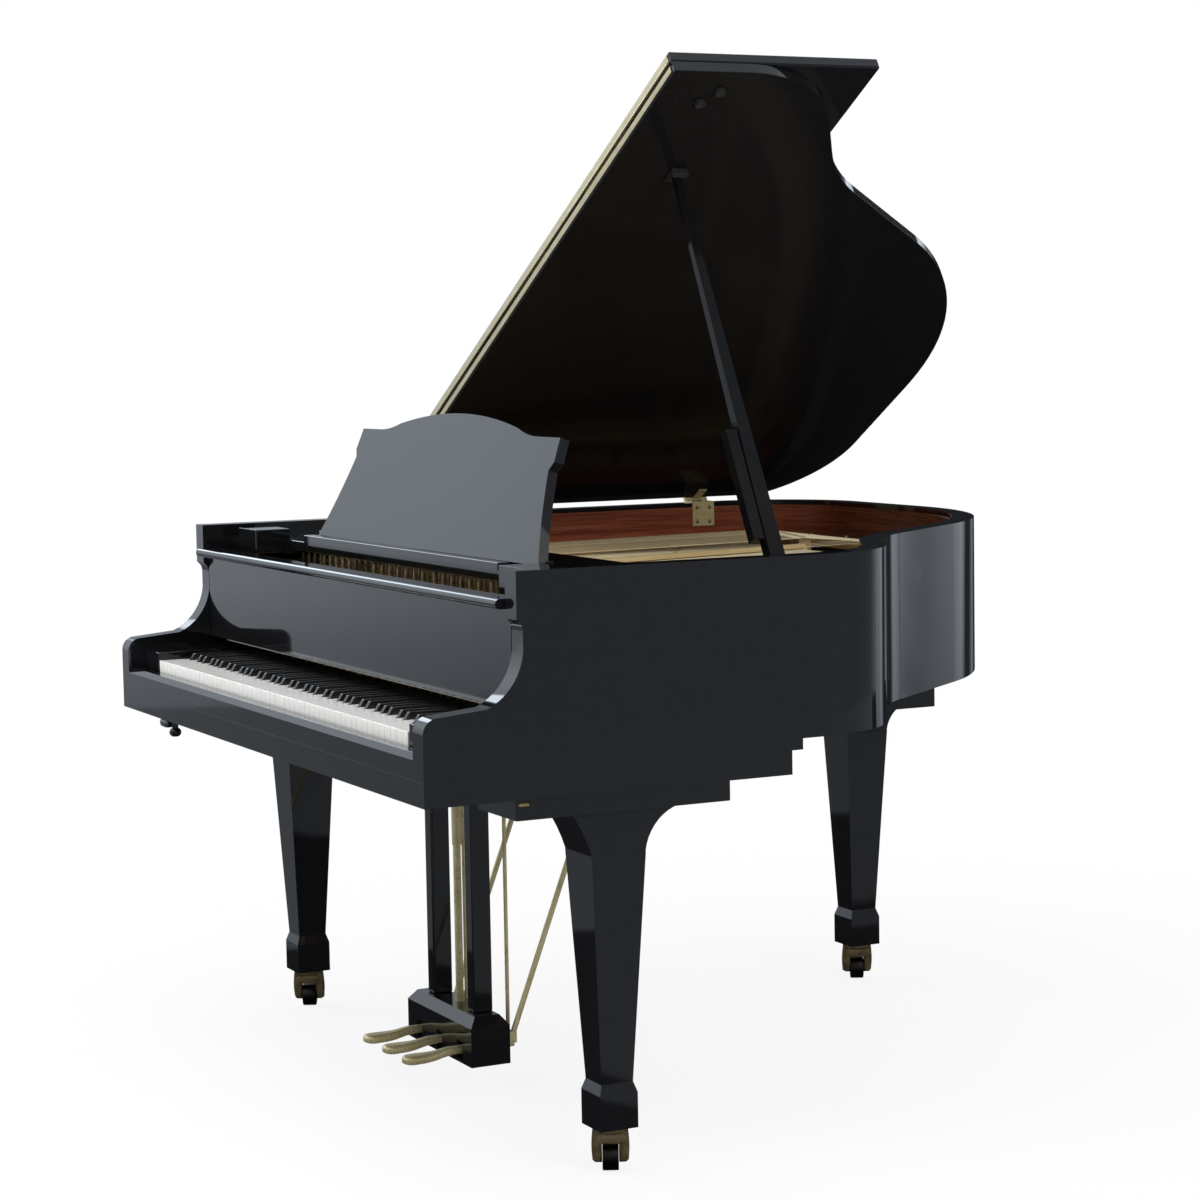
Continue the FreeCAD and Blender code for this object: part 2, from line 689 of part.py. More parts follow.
# Shelf rails: a ledge and a side tray on each cheek, which the music shelf slides between. The trays
# reach further forward than the shelf and carry a block at their front.
ledges = []
for name, tray_x, ledge_x, block_x in (
        ("bass", "rim_thick - case_width / 2", "-shelf_half - 1", "-shelf_half - 1 - tray_block"),
        ("treble", "shelf_half + 1", "shelf_half - 29", "shelf_half + 1")):
    ledges.append(joined(f"shelf_rail_{name}", [
        box(f"side_tray_{name}", tray_x, "tray_front", "shelf_bottom - 10",
            "case_width / 2 - rim_thick - shelf_half - 1", "shelf_back - tray_front", "shelf_thick + 10"),
        box(f"tray_block_{name}", block_x, "tray_front", "shelf_bottom - 1", "tray_block", "70",
            "rim_top - shelf_bottom - 4"),
        box(f"ledge_{name}", ledge_x, "shelf_front", "shelf_bottom - 10", "30",
            "shelf_back - shelf_front", "9.7")]))
gathered("shelf_rails", ledges)

# The desk leans back from its foot and turns on two pins just inside its lower edge.
shelf_top = shelf_bottom + shelf_thick
lean = Placement(at(0, desk_depth, shelf_top + 8.75), Rotation(Vector(1, 0, 0), -desk_lean))
desk_axis = lean.multVec(Vector(0, 13, 5))

# Music shelf: a board with a raised bar along its front and two lugs for the desk's pins.
shelf = new_body("music_shelf")
pad(shelf, LEVEL, Vector(0, 0, shelf_bottom),
    rectangle(-shelf_half, shelf_front + front, 2 * shelf_half, shelf_back - shelf_front), "shelf_thick")
pad(shelf, LEVEL, Vector(0, 0, shelf_top),
    rectangle(-bar_half, shelf_front + front, 2 * bar_half, 22), "bar_top - shelf_bottom - shelf_thick")
for lug_x in (desk_half + 0.4, -desk_half - 12.4):
    lug = rectangle(lug_x, desk_axis.y - 8, 12, 16)
    pad(shelf, LEVEL, Vector(0, 0, shelf_top), lug, f"{desk_axis.z - shelf_top + 7}")
    pocket(shelf, SIDEWAYS, Vector(lug_x + 12, 0, 0), ring(desk_axis.y, desk_axis.z, 3.06), "12")

# Music desk: a shouldered panel with a low crown, and lugs for its strut on the back.
desk = new_body("music_desk")
waist = desk_ear - 7
rise = desk_crown - desk_height
edge = Path(-desk_half, 0).line(desk_half, 0)
edge.arc(waist + 28, 0.38 * desk_height, waist, 0.74 * desk_height)
edge.line(desk_ear + 5, 0.81 * desk_height).line(desk_ear, desk_height)
edge.line(0.8 * desk_ear, desk_height)
edge.arc(0.7 * desk_ear, desk_height + 0.09 * rise, 0.6 * desk_ear, desk_height + 0.36 * rise)
edge.arc(0, desk_crown, -0.6 * desk_ear, desk_height + 0.36 * rise)
edge.arc(-0.7 * desk_ear, desk_height + 0.09 * rise, -0.8 * desk_ear, desk_height)
edge.line(-desk_ear, desk_height).line(-desk_ear - 5, 0.81 * desk_height)
edge.line(-waist, 0.74 * desk_height).arc(-waist - 28, 0.38 * desk_height, -desk_half, 0)
pad(desk, UPRIGHT, Vector(0, desk_thick, 0), edge.edges, "desk_thick")
pin_root = 60
for pin_x in (desk_half - pin_root, -desk_half - 10):
    pad(desk, SIDEWAYS, Vector(pin_x, 0, 0), ring(13, 5, 3), f"{pin_root + 10}")
strut_up = strut_length + 5
for lug_x in (30.3, -36.3):
    pad(desk, SIDEWAYS, Vector(lug_x, 0, 0), rectangle(desk_thick - 0.5, strut_up - 5, 8.5, 10), "6")
    pocket(desk, SIDEWAYS, Vector(lug_x + 6, 0, 0), ring(desk_thick + 4, strut_up, 1.56), "6")
desk.Placement = lean

# Desk strut: its head is as far from its toe as from the desk's pins, so the toe keeps to the shelf.
strut_head = lean.multVec(Vector(0, desk_thick + 4, strut_up))
strut_toe = Vector(0, 2 * strut_head.y - desk_axis.y, desk_axis.z)
strut_toe = strut_toe + (strut_toe - strut_head).normalize() * 8
strut_pin = Part.makeCylinder(1.5, 71, strut_head - Vector(35.5, 0, 0), Vector(1, 0, 0))
shaped("desk_strut", [bar(strut_head, strut_toe, 60, 6).fuse(strut_pin)])

# The lid is drawn shut and then turned up about its hinge line on the spine.
raised = Placement(Vector(), Rotation(Vector(0, 1, 0), -lid_open), Vector(pivot_x, 0, pivot_z))
lid_left = pivot_x + 6
lid = new_body("lid_main")
outer = case_line(-lid_overhang, fold_depth)
pad(lid, LEVEL, at(0, half_length, pivot_z), outer.close().edges, "lid_thick")
beyond_hinge = rectangle(-half - 100, front, lid_left + half + 100, 2 * case_length)
pocket(lid, LEVEL, Vector(0, 0, lid_top), beyond_hinge, "lid_thick")
lid.Placement = raised

# Front leaf of the lid, folded back onto the main leaf.
flap = new_body("lid_front")
flap_left = pivot_x + 18.5
flap_low = lid_top + 1
pad(flap, LEVEL, Vector(0, 0, flap_low),
    rectangle(flap_left, fold_depth + front, half + lid_overhang - flap_left, flap_depth), "lid_thick")
flap.Placement = raised

# Long hinge along the fold: two leaves on the front edges, knuckles in turn on one pin.
fold_z = lid_top + 0.5
fold_y = fold_depth + front - 3
hinge_left = flap_left + 8
hinge_length = half + lid_overhang - 8 - hinge_left
KNUCKLES = 8
knuckle = hinge_length / KNUCKLES
leaf_main = [Part.makeBox(hinge_length, 1.6, 12, Vector(hinge_left, fold_y + 1.2, fold_z - 16)),
             Part.makeCylinder(1.2, hinge_length, Vector(hinge_left, fold_y, fold_z), Vector(1, 0, 0))]
leaf_front = [Part.makeBox(hinge_length, 1.6, 12, Vector(hinge_left, fold_y + 1.2, fold_z + 4))]
bores = []
for number in range(KNUCKLES):
    start = hinge_left + number * knuckle + 0.3
    long = knuckle - 0.6
    barrel = Part.makeCylinder(2.6, long, Vector(start, fold_y, fold_z), Vector(1, 0, 0))
    if number % 2:
        tab = Part.makeBox(long, 1.6, 5, Vector(start, fold_y + 1.2, fold_z))
        bores.append(Part.makeCylinder(1.26, long + 2, Vector(start - 1, fold_y, fold_z), Vector(1, 0, 0)))
        leaf_front += [barrel, tab]
    else:
        tab = Part.makeBox(long, 1.6, 5, Vector(start, fold_y + 1.2, fold_z - 5))
        leaf_main += [barrel, tab]
leaf_front_bored = leaf_front[0].multiFuse(leaf_front[1:]).cut(Part.makeCompound(bores))
shaped("long_hinge_main", [leaf_main[0].multiFuse(leaf_main[1:]).removeSplitter()]).Placement = raised
shaped("long_hinge_front", [leaf_front_bored]).Placement = raised

# Lid hinges on the spine: straps over the rim with two knuckles and a pin, and a lid leaf with one.
straps = []
leaves = []
strap_thick = 2.6
inner_x = -half + rim_thick
for depth in (hinge_front, case_length - hinge_rear):
    y = depth + front
    strap_run = inner_x + strap_thick - pivot_x - 5
    strap = Part.makeBox(strap_run, 52, strap_thick, Vector(pivot_x + 5, y, rim_top))
    plate_leaf = Part.makeBox(strap_thick, 52, 52, Vector(inner_x + 0.05, y, rim_top - 52 + strap_thick))
    solid = strap.fuse(plate_leaf)
    for start in (0, 36):
        solid = solid.fuse(Part.makeCylinder(5, 16, Vector(pivot_x, y + start, pivot_z), Vector(0, 1, 0)))
        solid = solid.fuse(Part.makeBox(7, 16, pivot_z - rim_top - 2, Vector(pivot_x, y + start, rim_top)))
    pin = Part.makeCylinder(2, 52, Vector(pivot_x, y, pivot_z), Vector(0, 1, 0))
    straps.append(solid.fuse(pin).removeSplitter())
    leaf = Part.makeBox(38, 18.8, 2.2, Vector(pivot_x + 4, y + 16.6, pivot_z - 2.3))
    barrel = Part.makeCylinder(5, 18.8, Vector(pivot_x, y + 16.6, pivot_z), Vector(0, 1, 0))
    bore = Part.makeCylinder(2.06, 24, Vector(pivot_x, y + 14, pivot_z), Vector(0, 1, 0))
    leaves.append(leaf.fuse(barrel).cut(bore).removeSplitter())
shaped("spine_hinges_case", straps)
shaped("spine_hinges_lid", leaves).Placement = raised

# Long prop: square to the open lid, on a pivot inside the treble rim; it folds in over the strings.
lid_normal = raised.Rotation.multVec(Vector(0, 0, -1))
foot = at(prop_foot_x, prop_foot_depth, prop_foot_height)
clear = lid_normal.dot(foot - Vector(pivot_x, 0, pivot_z))
head = foot - lid_normal * (clear - 5)
head.y = prop_top_depth + front
along = (head - foot).normalize()
stick = tapered(foot + along * 14, head, prop_thick, prop_width, prop_slim)
tongue = bar(foot - along * 8, foot + along * 16, 12, 12)
prop_pin = Part.makeCylinder(3, 30, foot - Vector(0, 15, 0), Vector(0, 1, 0))
half_pin_at = foot + along * 62
half_pin = Part.makeCylinder(3, 22, half_pin_at - Vector(0, prop_width / 2 + 21, 0), Vector(0, 1, 0))
shaped("lid_prop", [stick.fuse(tongue).fuse(prop_pin).fuse(half_pin).removeSplitter()])

# Half prop: a short stick pinned to the long one's front side.
beside = Vector(0, -prop_width / 2 - 11.5, 0)
short = bar(half_pin_at + beside - along * 12, half_pin_at + beside + along * 190, 20, 20)
short_bore = Part.makeCylinder(3.06, 30, half_pin_at + beside - Vector(0, 15, 0), Vector(0, 1, 0))
shaped("half_prop", [short.cut(short_bore)])

# Prop bracket: two cheeks on the rim's inner face that hold the prop's pivot.
wall_x = half - rim_thick
cheeks = Part.makeBox(2.5, 36, 30, Vector(wall_x - 2.55, foot.y - 18, foot.z - 15))
for start in (-15, 9):
    corner = foot + Vector(-8, start, -9)
    cheeks = cheeks.fuse(Part.makeBox(wall_x - foot.x + 8, 6, 18, corner))
bore = Part.makeCylinder(3.06, 40, foot - Vector(0, 20, 0), Vector(0, 1, 0))
shaped("prop_bracket", [cheeks.cut(bore).removeSplitter()])

# Lid fittings: the prop's catch plate, open on the side the prop folds to, and two rubber bumpers.
catch_x = pivot_x + (head - Vector(pivot_x, 0, pivot_z)).dot(raised.Rotation.multVec(Vector(1, 0, 0)))
catch_y = head.y
catch = [Part.makeBox(34, 30, 4, Vector(catch_x - 17, catch_y - 15, pivot_z - 4.05)),
         Part.makeBox(6, 30, 10, Vector(catch_x + 10, catch_y - 15, pivot_z - 14.1))]
bumpers = [Part.makeCylinder(9, lid_gap - 0.4, Vector(half - inset, depth + front, pivot_z - lid_gap + 0.35))
           for inset, depth in ((67, 632), (35, 655))]
shaped("lid_fittings", catch + bumpers).Placement = raised


# Leg blocks: a slab under the case and a capital down to the leg, sloped in front and coved behind.
def leg_block(label, x, depth, slab_low, slab_high, side, fore, aft):
    body = new_body(label)
    pad(body, LEVEL, Vector(0, 0, slab_low),
        rectangle(x - side, depth + front - fore, 2 * side, fore + aft), f"{slab_high - slab_low}")
    near = depth + front - leg_wide / 2
    far = depth + front + leg_wide / 2
    tall = slab_low - leg_top
    slope = 0.5 * tall
    cove = 1.25 * tall
    turn = math.sqrt(0.5)
    capital = Path(near, leg_top).line(far, leg_top)
    capital.arc(far + cove * (1 - turn), leg_top + tall * turn, far + cove, slab_low)
    capital.line(near - slope, slab_low)
    capital.arc(near - 0.4 * slope, leg_top + 0.5 * tall, near, leg_top)
    pad(body, SIDEWAYS, Vector(x - leg_wide / 2, 0, 0), capital.edges, "leg_wide")
    return body


rear_slab_top = rim_bottom - 0.2
gathered("leg_blocks", [
    leg_block("leg_block_treble", leg_x, leg_depth, slab_bottom, keybed_bottom, 70, 186, 188),
    leg_block("leg_block_bass", -leg_x, leg_depth, slab_bottom, keybed_bottom, 70, 186, 188),
    leg_block("leg_block_rear", -rear_leg_x, rear_leg_depth, rear_slab_bottom, rear_slab_top, 125, 140, 113)])


# Legs: square and tapered, with a flared foot bored for the caster's stem.
def leg(label, x, depth):
    body = new_body(label)

    def square(width):
        return rectangle(x - width / 2, depth + front - width / 2, width, width)

    pad(body, LEVEL, Vector(0, 0, leg_bottom), square(foot_width), "foot_top - leg_bottom")
    loft(body, Vector(0, 0, foot_top), square(foot_width), Vector(0, 0, ankle), square(leg_narrow))
    loft(body, Vector(0, 0, ankle), square(leg_narrow), Vector(0, 0, leg_top), square(leg_wide))
    pocket(body, LEVEL, Vector(0, 0, leg_bottom + 40), ring(x, depth + front, 8.06), "40")
    return body


places = (("treble", leg_x, leg_depth), ("bass", -leg_x, leg_depth),
          ("rear", -rear_leg_x, rear_leg_depth))
gathered("legs", [leg("leg_" + name, x, depth) for name, x, depth in places])

# Casters: a forked brass frame that swivels in the leg, and its wheel.
for name, x, depth in places:
    y = depth + front
    turned = Placement(Vector(), Rotation(Vector(0, 0, 1), caster_turn), Vector(x, y, 0))
    wheel_y = y + caster_trail
    cheek_gap = wheel_width / 2 + 1
    fork = Part.makeCylinder(8, 38, Vector(x, y, leg_bottom - 1))
    fork = fork.fuse(Part.makeCylinder(27, 6, Vector(x, y, leg_bottom - 6.4)))
    crown_low = 2 * wheel_radius + 3
    crown = Part.makeBox(2 * cheek_gap + 2 * cheek_thick, 34, leg_bottom - 6 - crown_low,
                         Vector(x - cheek_gap - cheek_thick, y - 14, crown_low))
    fork = fork.fuse(crown)
    for side in (-cheek_gap - cheek_thick, cheek_gap):
        side_line = [(y - 14, leg_bottom - 6), (y + 20, leg_bottom - 6), (wheel_y + 9, wheel_radius - 6),
                     (wheel_y - 9, wheel_radius - 6), (y - 14, leg_bottom - 6)]
        face = Part.Face(Part.makePolygon([Vector(x + side, a, b) for a, b in side_line]))
        fork = fork.fuse(face.extrude(Vector(cheek_thick, 0, 0)))
    axle_start = Vector(x - cheek_gap - 3, wheel_y, wheel_radius)
    fork = fork.fuse(Part.makeCylinder(3, 2 * cheek_gap + 6, axle_start, Vector(1, 0, 0)))
    shaped("caster_fork_" + name, [fork.removeSplitter()]).Placement = turned
    wheel = new_body("caster_wheel_" + name)
    pad(wheel, SIDEWAYS, Vector(x - wheel_width / 2, 0, 0),
        ring(wheel_y, wheel_radius, wheel_radius) + ring(wheel_y, wheel_radius, 3.06), "wheel_width")
    wheel.Placement = turned

# Lyre frame: a head block under the keybed, bored for the pedal rods, and two posts.
lyre_mid = lyre_front + lyre_depth / 2
post_mid = lyre_mid + 5
moulding_top = lyre_shoulder + 18
frame = new_body("lyre_frame")
head_low = keybed_bottom - 30
head_block = rectangle(-150, lyre_front + front, 300, rod_depth - lyre_front + 15)
pad(frame, LEVEL, Vector(0, 0, head_low), head_block, "30")
for post_x in (-lyre_post_x, lyre_post_x):
    post = rectangle(post_x - lyre_post_width / 2, post_mid + front - lyre_post_depth / 2,
                     lyre_post_width, lyre_post_depth)
    pad(frame, LEVEL, Vector(0, 0, moulding_top), post, f"{head_low - moulding_top}")
pedal_places = (("left", -pedal_pitch), ("middle", 0), ("right", pedal_pitch))
for name, x in pedal_places:
    pocket(frame, LEVEL, Vector(0, 0, keybed_bottom), ring(x, rod_depth + front, 3.8), "30")

# Pedal box: slotted for the pedals, with a sloped moulding on top and the pedals' axle across it.
pedal_box = new_body("pedal_box")
box_edge = rectangle(-lyre_half, lyre_front + front, 2 * lyre_half, lyre_depth)
pad(pedal_box, LEVEL, Vector(0, 0, lyre_bottom), box_edge, "lyre_shoulder - lyre_bottom")
top_edge = rectangle(-lyre_half + 14, lyre_front + front + 14, 2 * lyre_half - 28, lyre_depth - 28)
loft(pedal_box, Vector(0, 0, lyre_shoulder), box_edge, Vector(0, 0, moulding_top), top_edge)
for name, x in pedal_places:
    slot = rectangle(x - 12, pedal_height - 17, 24, 34)
    pocket(pedal_box, UPRIGHT, at(0, lyre_front - 1, 0), slot, "lyre_depth + 2")
axle_start = at(-pedal_pitch - 20, lyre_mid, pedal_height)
axle = Part.makeCylinder(4, 2 * pedal_pitch + 40, axle_start, Vector(1, 0, 0))
joined("lyre_box", [pedal_box, shaped("axle", [axle])])

# Pedals: a rounded tongue in front, a straight lever through the box to its rod.
for name, x in pedal_places:
    pedal = new_body("pedal_" + name)
    tip = pedal_tip + front
    neck = lyre_front + front - 20
    heel = rod_depth + front + 10
    tongue = Path(x - 10, heel).line(x - 10, neck).arc(x - 13, neck - 40, x - 19, tip + 19)
    tongue.arc(x, tip, x + 19, tip + 19).arc(x + 13, neck - 40, x + 10, neck).line(x + 10, heel)
    pad(pedal, LEVEL, Vector(0, 0, pedal_height - 7), tongue.close().edges, "14")
    pocket(pedal, SIDEWAYS, Vector(x + 30, 0, 0), ring(lyre_mid + front, pedal_height, 4.06), "60")
    rod("pedal_rod_" + name, f"{x}", "rod_depth", "pedal_height + 7.3", "3.5",
        "keybed_bottom - pedal_height - 19.3")

# Lyre braces: two slanted stays back to the keybed, and the bright rod between the posts with its
# upper sleeve and its foot.
stays = []
for x in (-132, 132):
    low = at(x, lyre_front + lyre_depth + 8, lyre_shoulder - 24)
    high = at(x, keybed_depth - 20, keybed_bottom - 4)
    slope = high - low
    stay = Part.makeCylinder(5, slope.Length, low, slope)
    block = Part.makeBox(16, 14, 20, low + Vector(-8, -7.95, -10))
    plate_end = Part.makeBox(34, 34, 3, at(x - 17, keybed_depth - 37, keybed_bottom - 3.05))
    stays.append(stay.fuse(block).fuse(plate_end))
rod_low = moulding_top + 0.1
sleeve_low = 425
post_rod = Part.makeCylinder(7, head_low - rod_low - 0.1, at(0, post_mid, rod_low))
post_rod = post_rod.fuse(Part.makeCylinder(9, 18, at(0, post_mid, rod_low)))
post_rod = post_rod.fuse(Part.makeCylinder(8.5, head_low - sleeve_low - 0.1, at(0, post_mid, sleeve_low)))
shaped("lyre_braces", stays + [post_rod.removeSplitter()])

# Write one file for each sub-part.
doc.recompute()
NODES = ["case_rim", "inner_rim", "keybed", "case_beams", "keyslip", "key_blocks", "stretcher", "pinblock",
         "iron_plate", "soundboard", "bridges", "tuning_pins", "strings", "legs", "leg_blocks", "lyre_frame",
         "lyre_box", "lyre_braces", "spine_hinges_case", "prop_bracket", "shelf_rails", "keyframe", "action",
         "dampers", "lid_main", "spine_hinges_lid", "long_hinge_main", "lid_fittings", "lid_front",
         "long_hinge_front", "lid_prop", "half_prop", "fallboard", "music_shelf", "music_desk", "desk_strut"]
NODES += ["keys_" + name for name in NAMES]
NODES += ["pedal_" + name for name, _ in pedal_places]
NODES += ["pedal_rod_" + name for name, _ in pedal_places]
NODES += ["caster_fork_" + name for name, _, _ in places]
NODES += ["caster_wheel_" + name for name, _, _ in places]

for made in doc.Objects:
    if "Invalid" in made.State or "Error" in made.State:
        raise RuntimeError("not built: " + made.Label)

os.makedirs("parts", exist_ok=True)
for label in NODES:
    found = doc.getObjectsByLabel(label)[0]
    if found.Shape.isNull() or not found.Shape.isValid():
        raise RuntimeError("no sound shape: " + label)
    found.Shape.exportStep(f"parts/{label}.step")
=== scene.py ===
import math

import bmesh
import bpy
import numpy as np
from mathutils import Matrix, Vector


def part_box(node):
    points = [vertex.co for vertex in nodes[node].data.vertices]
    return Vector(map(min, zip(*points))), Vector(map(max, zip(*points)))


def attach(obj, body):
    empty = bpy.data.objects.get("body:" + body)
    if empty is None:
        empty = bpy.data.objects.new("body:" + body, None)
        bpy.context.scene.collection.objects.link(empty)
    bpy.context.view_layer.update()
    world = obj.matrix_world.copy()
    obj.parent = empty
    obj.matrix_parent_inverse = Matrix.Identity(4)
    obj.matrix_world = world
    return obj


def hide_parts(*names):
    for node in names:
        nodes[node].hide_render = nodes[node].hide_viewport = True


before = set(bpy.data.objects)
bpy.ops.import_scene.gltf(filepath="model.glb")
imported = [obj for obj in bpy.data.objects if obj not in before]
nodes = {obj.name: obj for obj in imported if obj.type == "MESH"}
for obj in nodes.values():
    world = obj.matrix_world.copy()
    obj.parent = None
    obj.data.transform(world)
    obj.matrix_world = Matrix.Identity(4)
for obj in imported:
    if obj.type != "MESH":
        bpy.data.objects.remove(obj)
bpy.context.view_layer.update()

# Studio: a pale floor that runs into a white surround, with one broad soft light at the player's
# left, one overhead and one that looks in under the lid. The camera stands where the photograph
# was taken, at the treble side in front of the piano.
scene = bpy.context.scene
scene.view_settings.view_transform = "Standard"

camera_place = (4.6463, -2.4365, 1.3088)
camera_yaw = math.radians(63.37)
camera_pitch = math.radians(-5.06)
camera_roll = math.radians(-0.99)
lens = bpy.data.cameras.new("photo_camera")
lens.lens = 85.77
lens.sensor_width = 36
lens.clip_end = 100
camera = bpy.data.objects.new("photo_camera", lens)
scene.collection.objects.link(camera)
turn = (Matrix.Rotation(camera_yaw, 4, "Z") @ Matrix.Rotation(math.pi / 2 + camera_pitch, 4, "X")
        @ Matrix.Rotation(camera_roll, 4, "Z"))
camera.matrix_world = Matrix.Translation(camera_place) @ turn
scene.camera = camera


def node_tree(material):
    """An empty node tree for a material or the world."""
    material.use_nodes = True
    tree = material.node_tree
    tree.nodes.clear()
    return tree


def add(tree, kind, values=None, **settings):
    """One shader node with its settings and the values of its named or numbered inputs."""
    made = tree.nodes.new("ShaderNode" + kind)
    for name, value in settings.items():
        setattr(made, name, value)
    for name, value in (values or {}).items():
        made.inputs[name].default_value = value
    return made


def seen_rays(tree):
    """1 for the rays that show a thing itself: from the camera, or by gloss or glass."""
    rays = add(tree, "LightPath")
    seen = rays.outputs["Is Camera Ray"]
    for other in ("Is Glossy Ray", "Is Transmission Ray"):
        either = add(tree, "Math", operation="MAXIMUM")
        tree.links.new(seen, either.inputs[0])
        tree.links.new(rays.outputs[other], either.inputs[1])
        seen = either.outputs[0]
    return seen


# Surround: a plain white room without corners. It is white wherever it is seen, and lights the
# piano at about half of that, so that the black lacquer keeps its depth.
room_light = 0.6
world = bpy.data.worlds.new("studio")
scene.world = world
tree = node_tree(world)
glow = add(tree, "Background", {"Color": (0.96, 0.98, 1, 1), "Strength": room_light})
white = add(tree, "Background", {"Color": (1, 1, 1, 1), "Strength": 1})
mix = add(tree, "MixShader")
out = add(tree, "OutputWorld")
tree.links.new(seen_rays(tree), mix.inputs[0])
tree.links.new(glow.outputs[0], mix.inputs[1])
tree.links.new(white.outputs[0], mix.inputs[2])
tree.links.new(mix.outputs[0], out.inputs["Surface"])


def panel_light(name, place, aim, width, height, power):
    """A soft rectangular light that faces the aim point and is not mirrored itself."""
    made = bpy.data.lights.new(name, "AREA")
    made.shape = "RECTANGLE"
    made.size = width
    made.size_y = height
    made.energy = power
    lamp = bpy.data.objects.new(name, made)
    scene.collection.objects.link(lamp)
    lamp.visible_glossy = False
    lamp.matrix_world = (Matrix.Translation(place)
                         @ (Vector(aim) - Vector(place)).to_track_quat("-Z", "Y").to_matrix().to_4x4())


panel_light("left_light", (-3.6, -3.2, 1.5), (0, -0.4, 0.7), 3.4, 2.6, 110)
panel_light("top_light", (0.5, -1.5, 4.2), (0, 0, 0.6), 3.0, 3.0, 80)
panel_light("treble_light", (4.6, 0.6, 2.1), (-0.3, 0.2, 0.92), 2.2, 1.4, 90)


def stage_sheet(name, points, columns, material):
    """A stage surface from a grid of points, row by row."""
    points = np.asarray(points, float).reshape(-1, 3)
    index = np.arange(len(points)).reshape(-1, columns)
    faces = np.stack([index[:-1, :-1], index[:-1, 1:], index[1:, 1:], index[1:, :-1]], -1).reshape(-1, 4)
    mesh = bpy.data.meshes.new(name)
    mesh.from_pydata(points.tolist(), [], faces.tolist())
    mesh.materials.append(material)
    made = bpy.data.objects.new(name, mesh)
    scene.collection.objects.link(made)
    return made


# Floor: a sheet of pale paint. It keeps the piano's shadow and fades into the white surround
# away from the piano.
fade_start, fade_end, near_white = 0.9, 2.4, 0.86
paint = bpy.data.materials.new("pale_floor")
tree = node_tree(paint)
base = add(tree, "BsdfDiffuse", {"Color": (0.93, 0.93, 0.93, 1)})
white = add(tree, "Emission", {"Color": (1, 1, 1, 1), "Strength": 1})
place = add(tree, "TexCoord")
away = add(tree, "VectorMath", operation="LENGTH")
fade = add(tree, "MapRange", {"From Min": fade_start, "From Max": fade_end, "To Min": near_white},
           interpolation_type="SMOOTHSTEP")
shown = add(tree, "Math", operation="MULTIPLY")
mix = add(tree, "MixShader")
out = add(tree, "OutputMaterial")
tree.links.new(place.outputs["Object"], away.inputs[0])
tree.links.new(away.outputs["Value"], fade.inputs["Value"])
tree.links.new(fade.outputs[0], shown.inputs[0])
tree.links.new(seen_rays(tree), shown.inputs[1])
tree.links.new(shown.outputs[0], mix.inputs[0])
tree.links.new(base.outputs[0], mix.inputs[1])
tree.links.new(white.outputs[0], mix.inputs[2])
tree.links.new(mix.outputs[0], out.inputs["Surface"])
floor_half = 14
stage_sheet("floor", [(-floor_half, -floor_half, 0), (floor_half, -floor_half, 0),
                      (-floor_half, floor_half, 0), (floor_half, floor_half, 0)], 2, paint)


# Cards, as a studio sets them round a polished thing: a ring of grey card, lighter where the player
# sits and behind the bent side, and a dark one on the floor. Only lacquer and brass mirror them.
def card(name, points, columns, tones):
    """A card seen in reflections only; each of its points has its own tone."""
    paper = bpy.data.materials.new(name)
    tree = node_tree(paper)
    glow = add(tree, "Emission", {"Color": (0.88, 0.97, 1.08, 1)})
    tone = add(tree, "Attribute", attribute_name="tone")
    out = add(tree, "OutputMaterial")
    tree.links.new(tone.outputs["Fac"], glow.inputs["Strength"])
    tree.links.new(glow.outputs[0], out.inputs["Surface"])
    made = stage_sheet(name, points, columns, paper)
    made.data.attributes.new("tone", "FLOAT", "POINT").data.foreach_set("value", np.ravel(tones))
    for ray in ("camera", "diffuse", "transmission", "shadow", "volume_scatter"):
        setattr(made, "visible_" + ray, False)


# The ring's tone at bearings in degrees, counted from the treble side round by the tail.
ring_radius = 6
bearing = np.concatenate([np.arange(0, 96, 3), np.arange(96, 130, 0.25), np.arange(130, 361, 2)])
height = np.array([0, 0.2, 0.45, 1.0, 1.8, 2.4, 2.7, 4.0, 4.3, 5.0])
treble_cards = {0: 0.26, 45: 0.26, 66: 0.19, 85: 0.2}
tail_cards = {96: 0.6, 100: 1.0, 100.4: 0.85, 100.9: 0.42, 101.4: 0.41, 102: 0.6, 103.5: 0.8, 110: 0.85}
dark_cards = {112.5: 0.5, 115: 0.04, 121: 0.03, 127: 0.3, 132: 0.02, 150: 0.02, 156: 0.08}
bass_cards = {160: 0.45, 172: 0.4, 195: 0.8}
player_cards = {205: 1, 240: 1, 285: 0.26, 360: 0.26}
tone_at = {**treble_cards, **tail_cards, **dark_cards, **bass_cards, **player_cards}
by_bearing = np.interp(bearing, list(tone_at), list(tone_at.values()))
player_height = np.interp(height, [0, 0.2, 0.45, 1.0, 2.6], [0.4, 0.5, 0.75, 0.9, 1.25])
flank_height = np.interp(height, [0, 0.2, 0.45, 1.0], [0.75, 0.85, 0.95, 1.1])
player_side = np.interp(bearing, [180, 200, 240, 285], [0, 1, 1, 0])
flank_side = np.interp(bearing, [85, 96, 112, 118], [0, 1, 1, 0])
taller = player_side * (player_height[:, None] - 1) + flank_side * (flank_height[:, None] - 1)
ring_tone = by_bearing * (1 + taller)
strip_light = np.interp(bearing, [118, 119, 125, 126, 172, 174, 190, 192], [0, 2, 2, 0, 0, 3.5, 3.5, 0])
strip_height = np.interp(height, [2.4, 2.7, 4.0, 4.3], [0, 1, 1, 0])
ring_tone = ring_tone + strip_height[:, None] * strip_light
flat, up = np.meshgrid(np.radians(bearing), height)
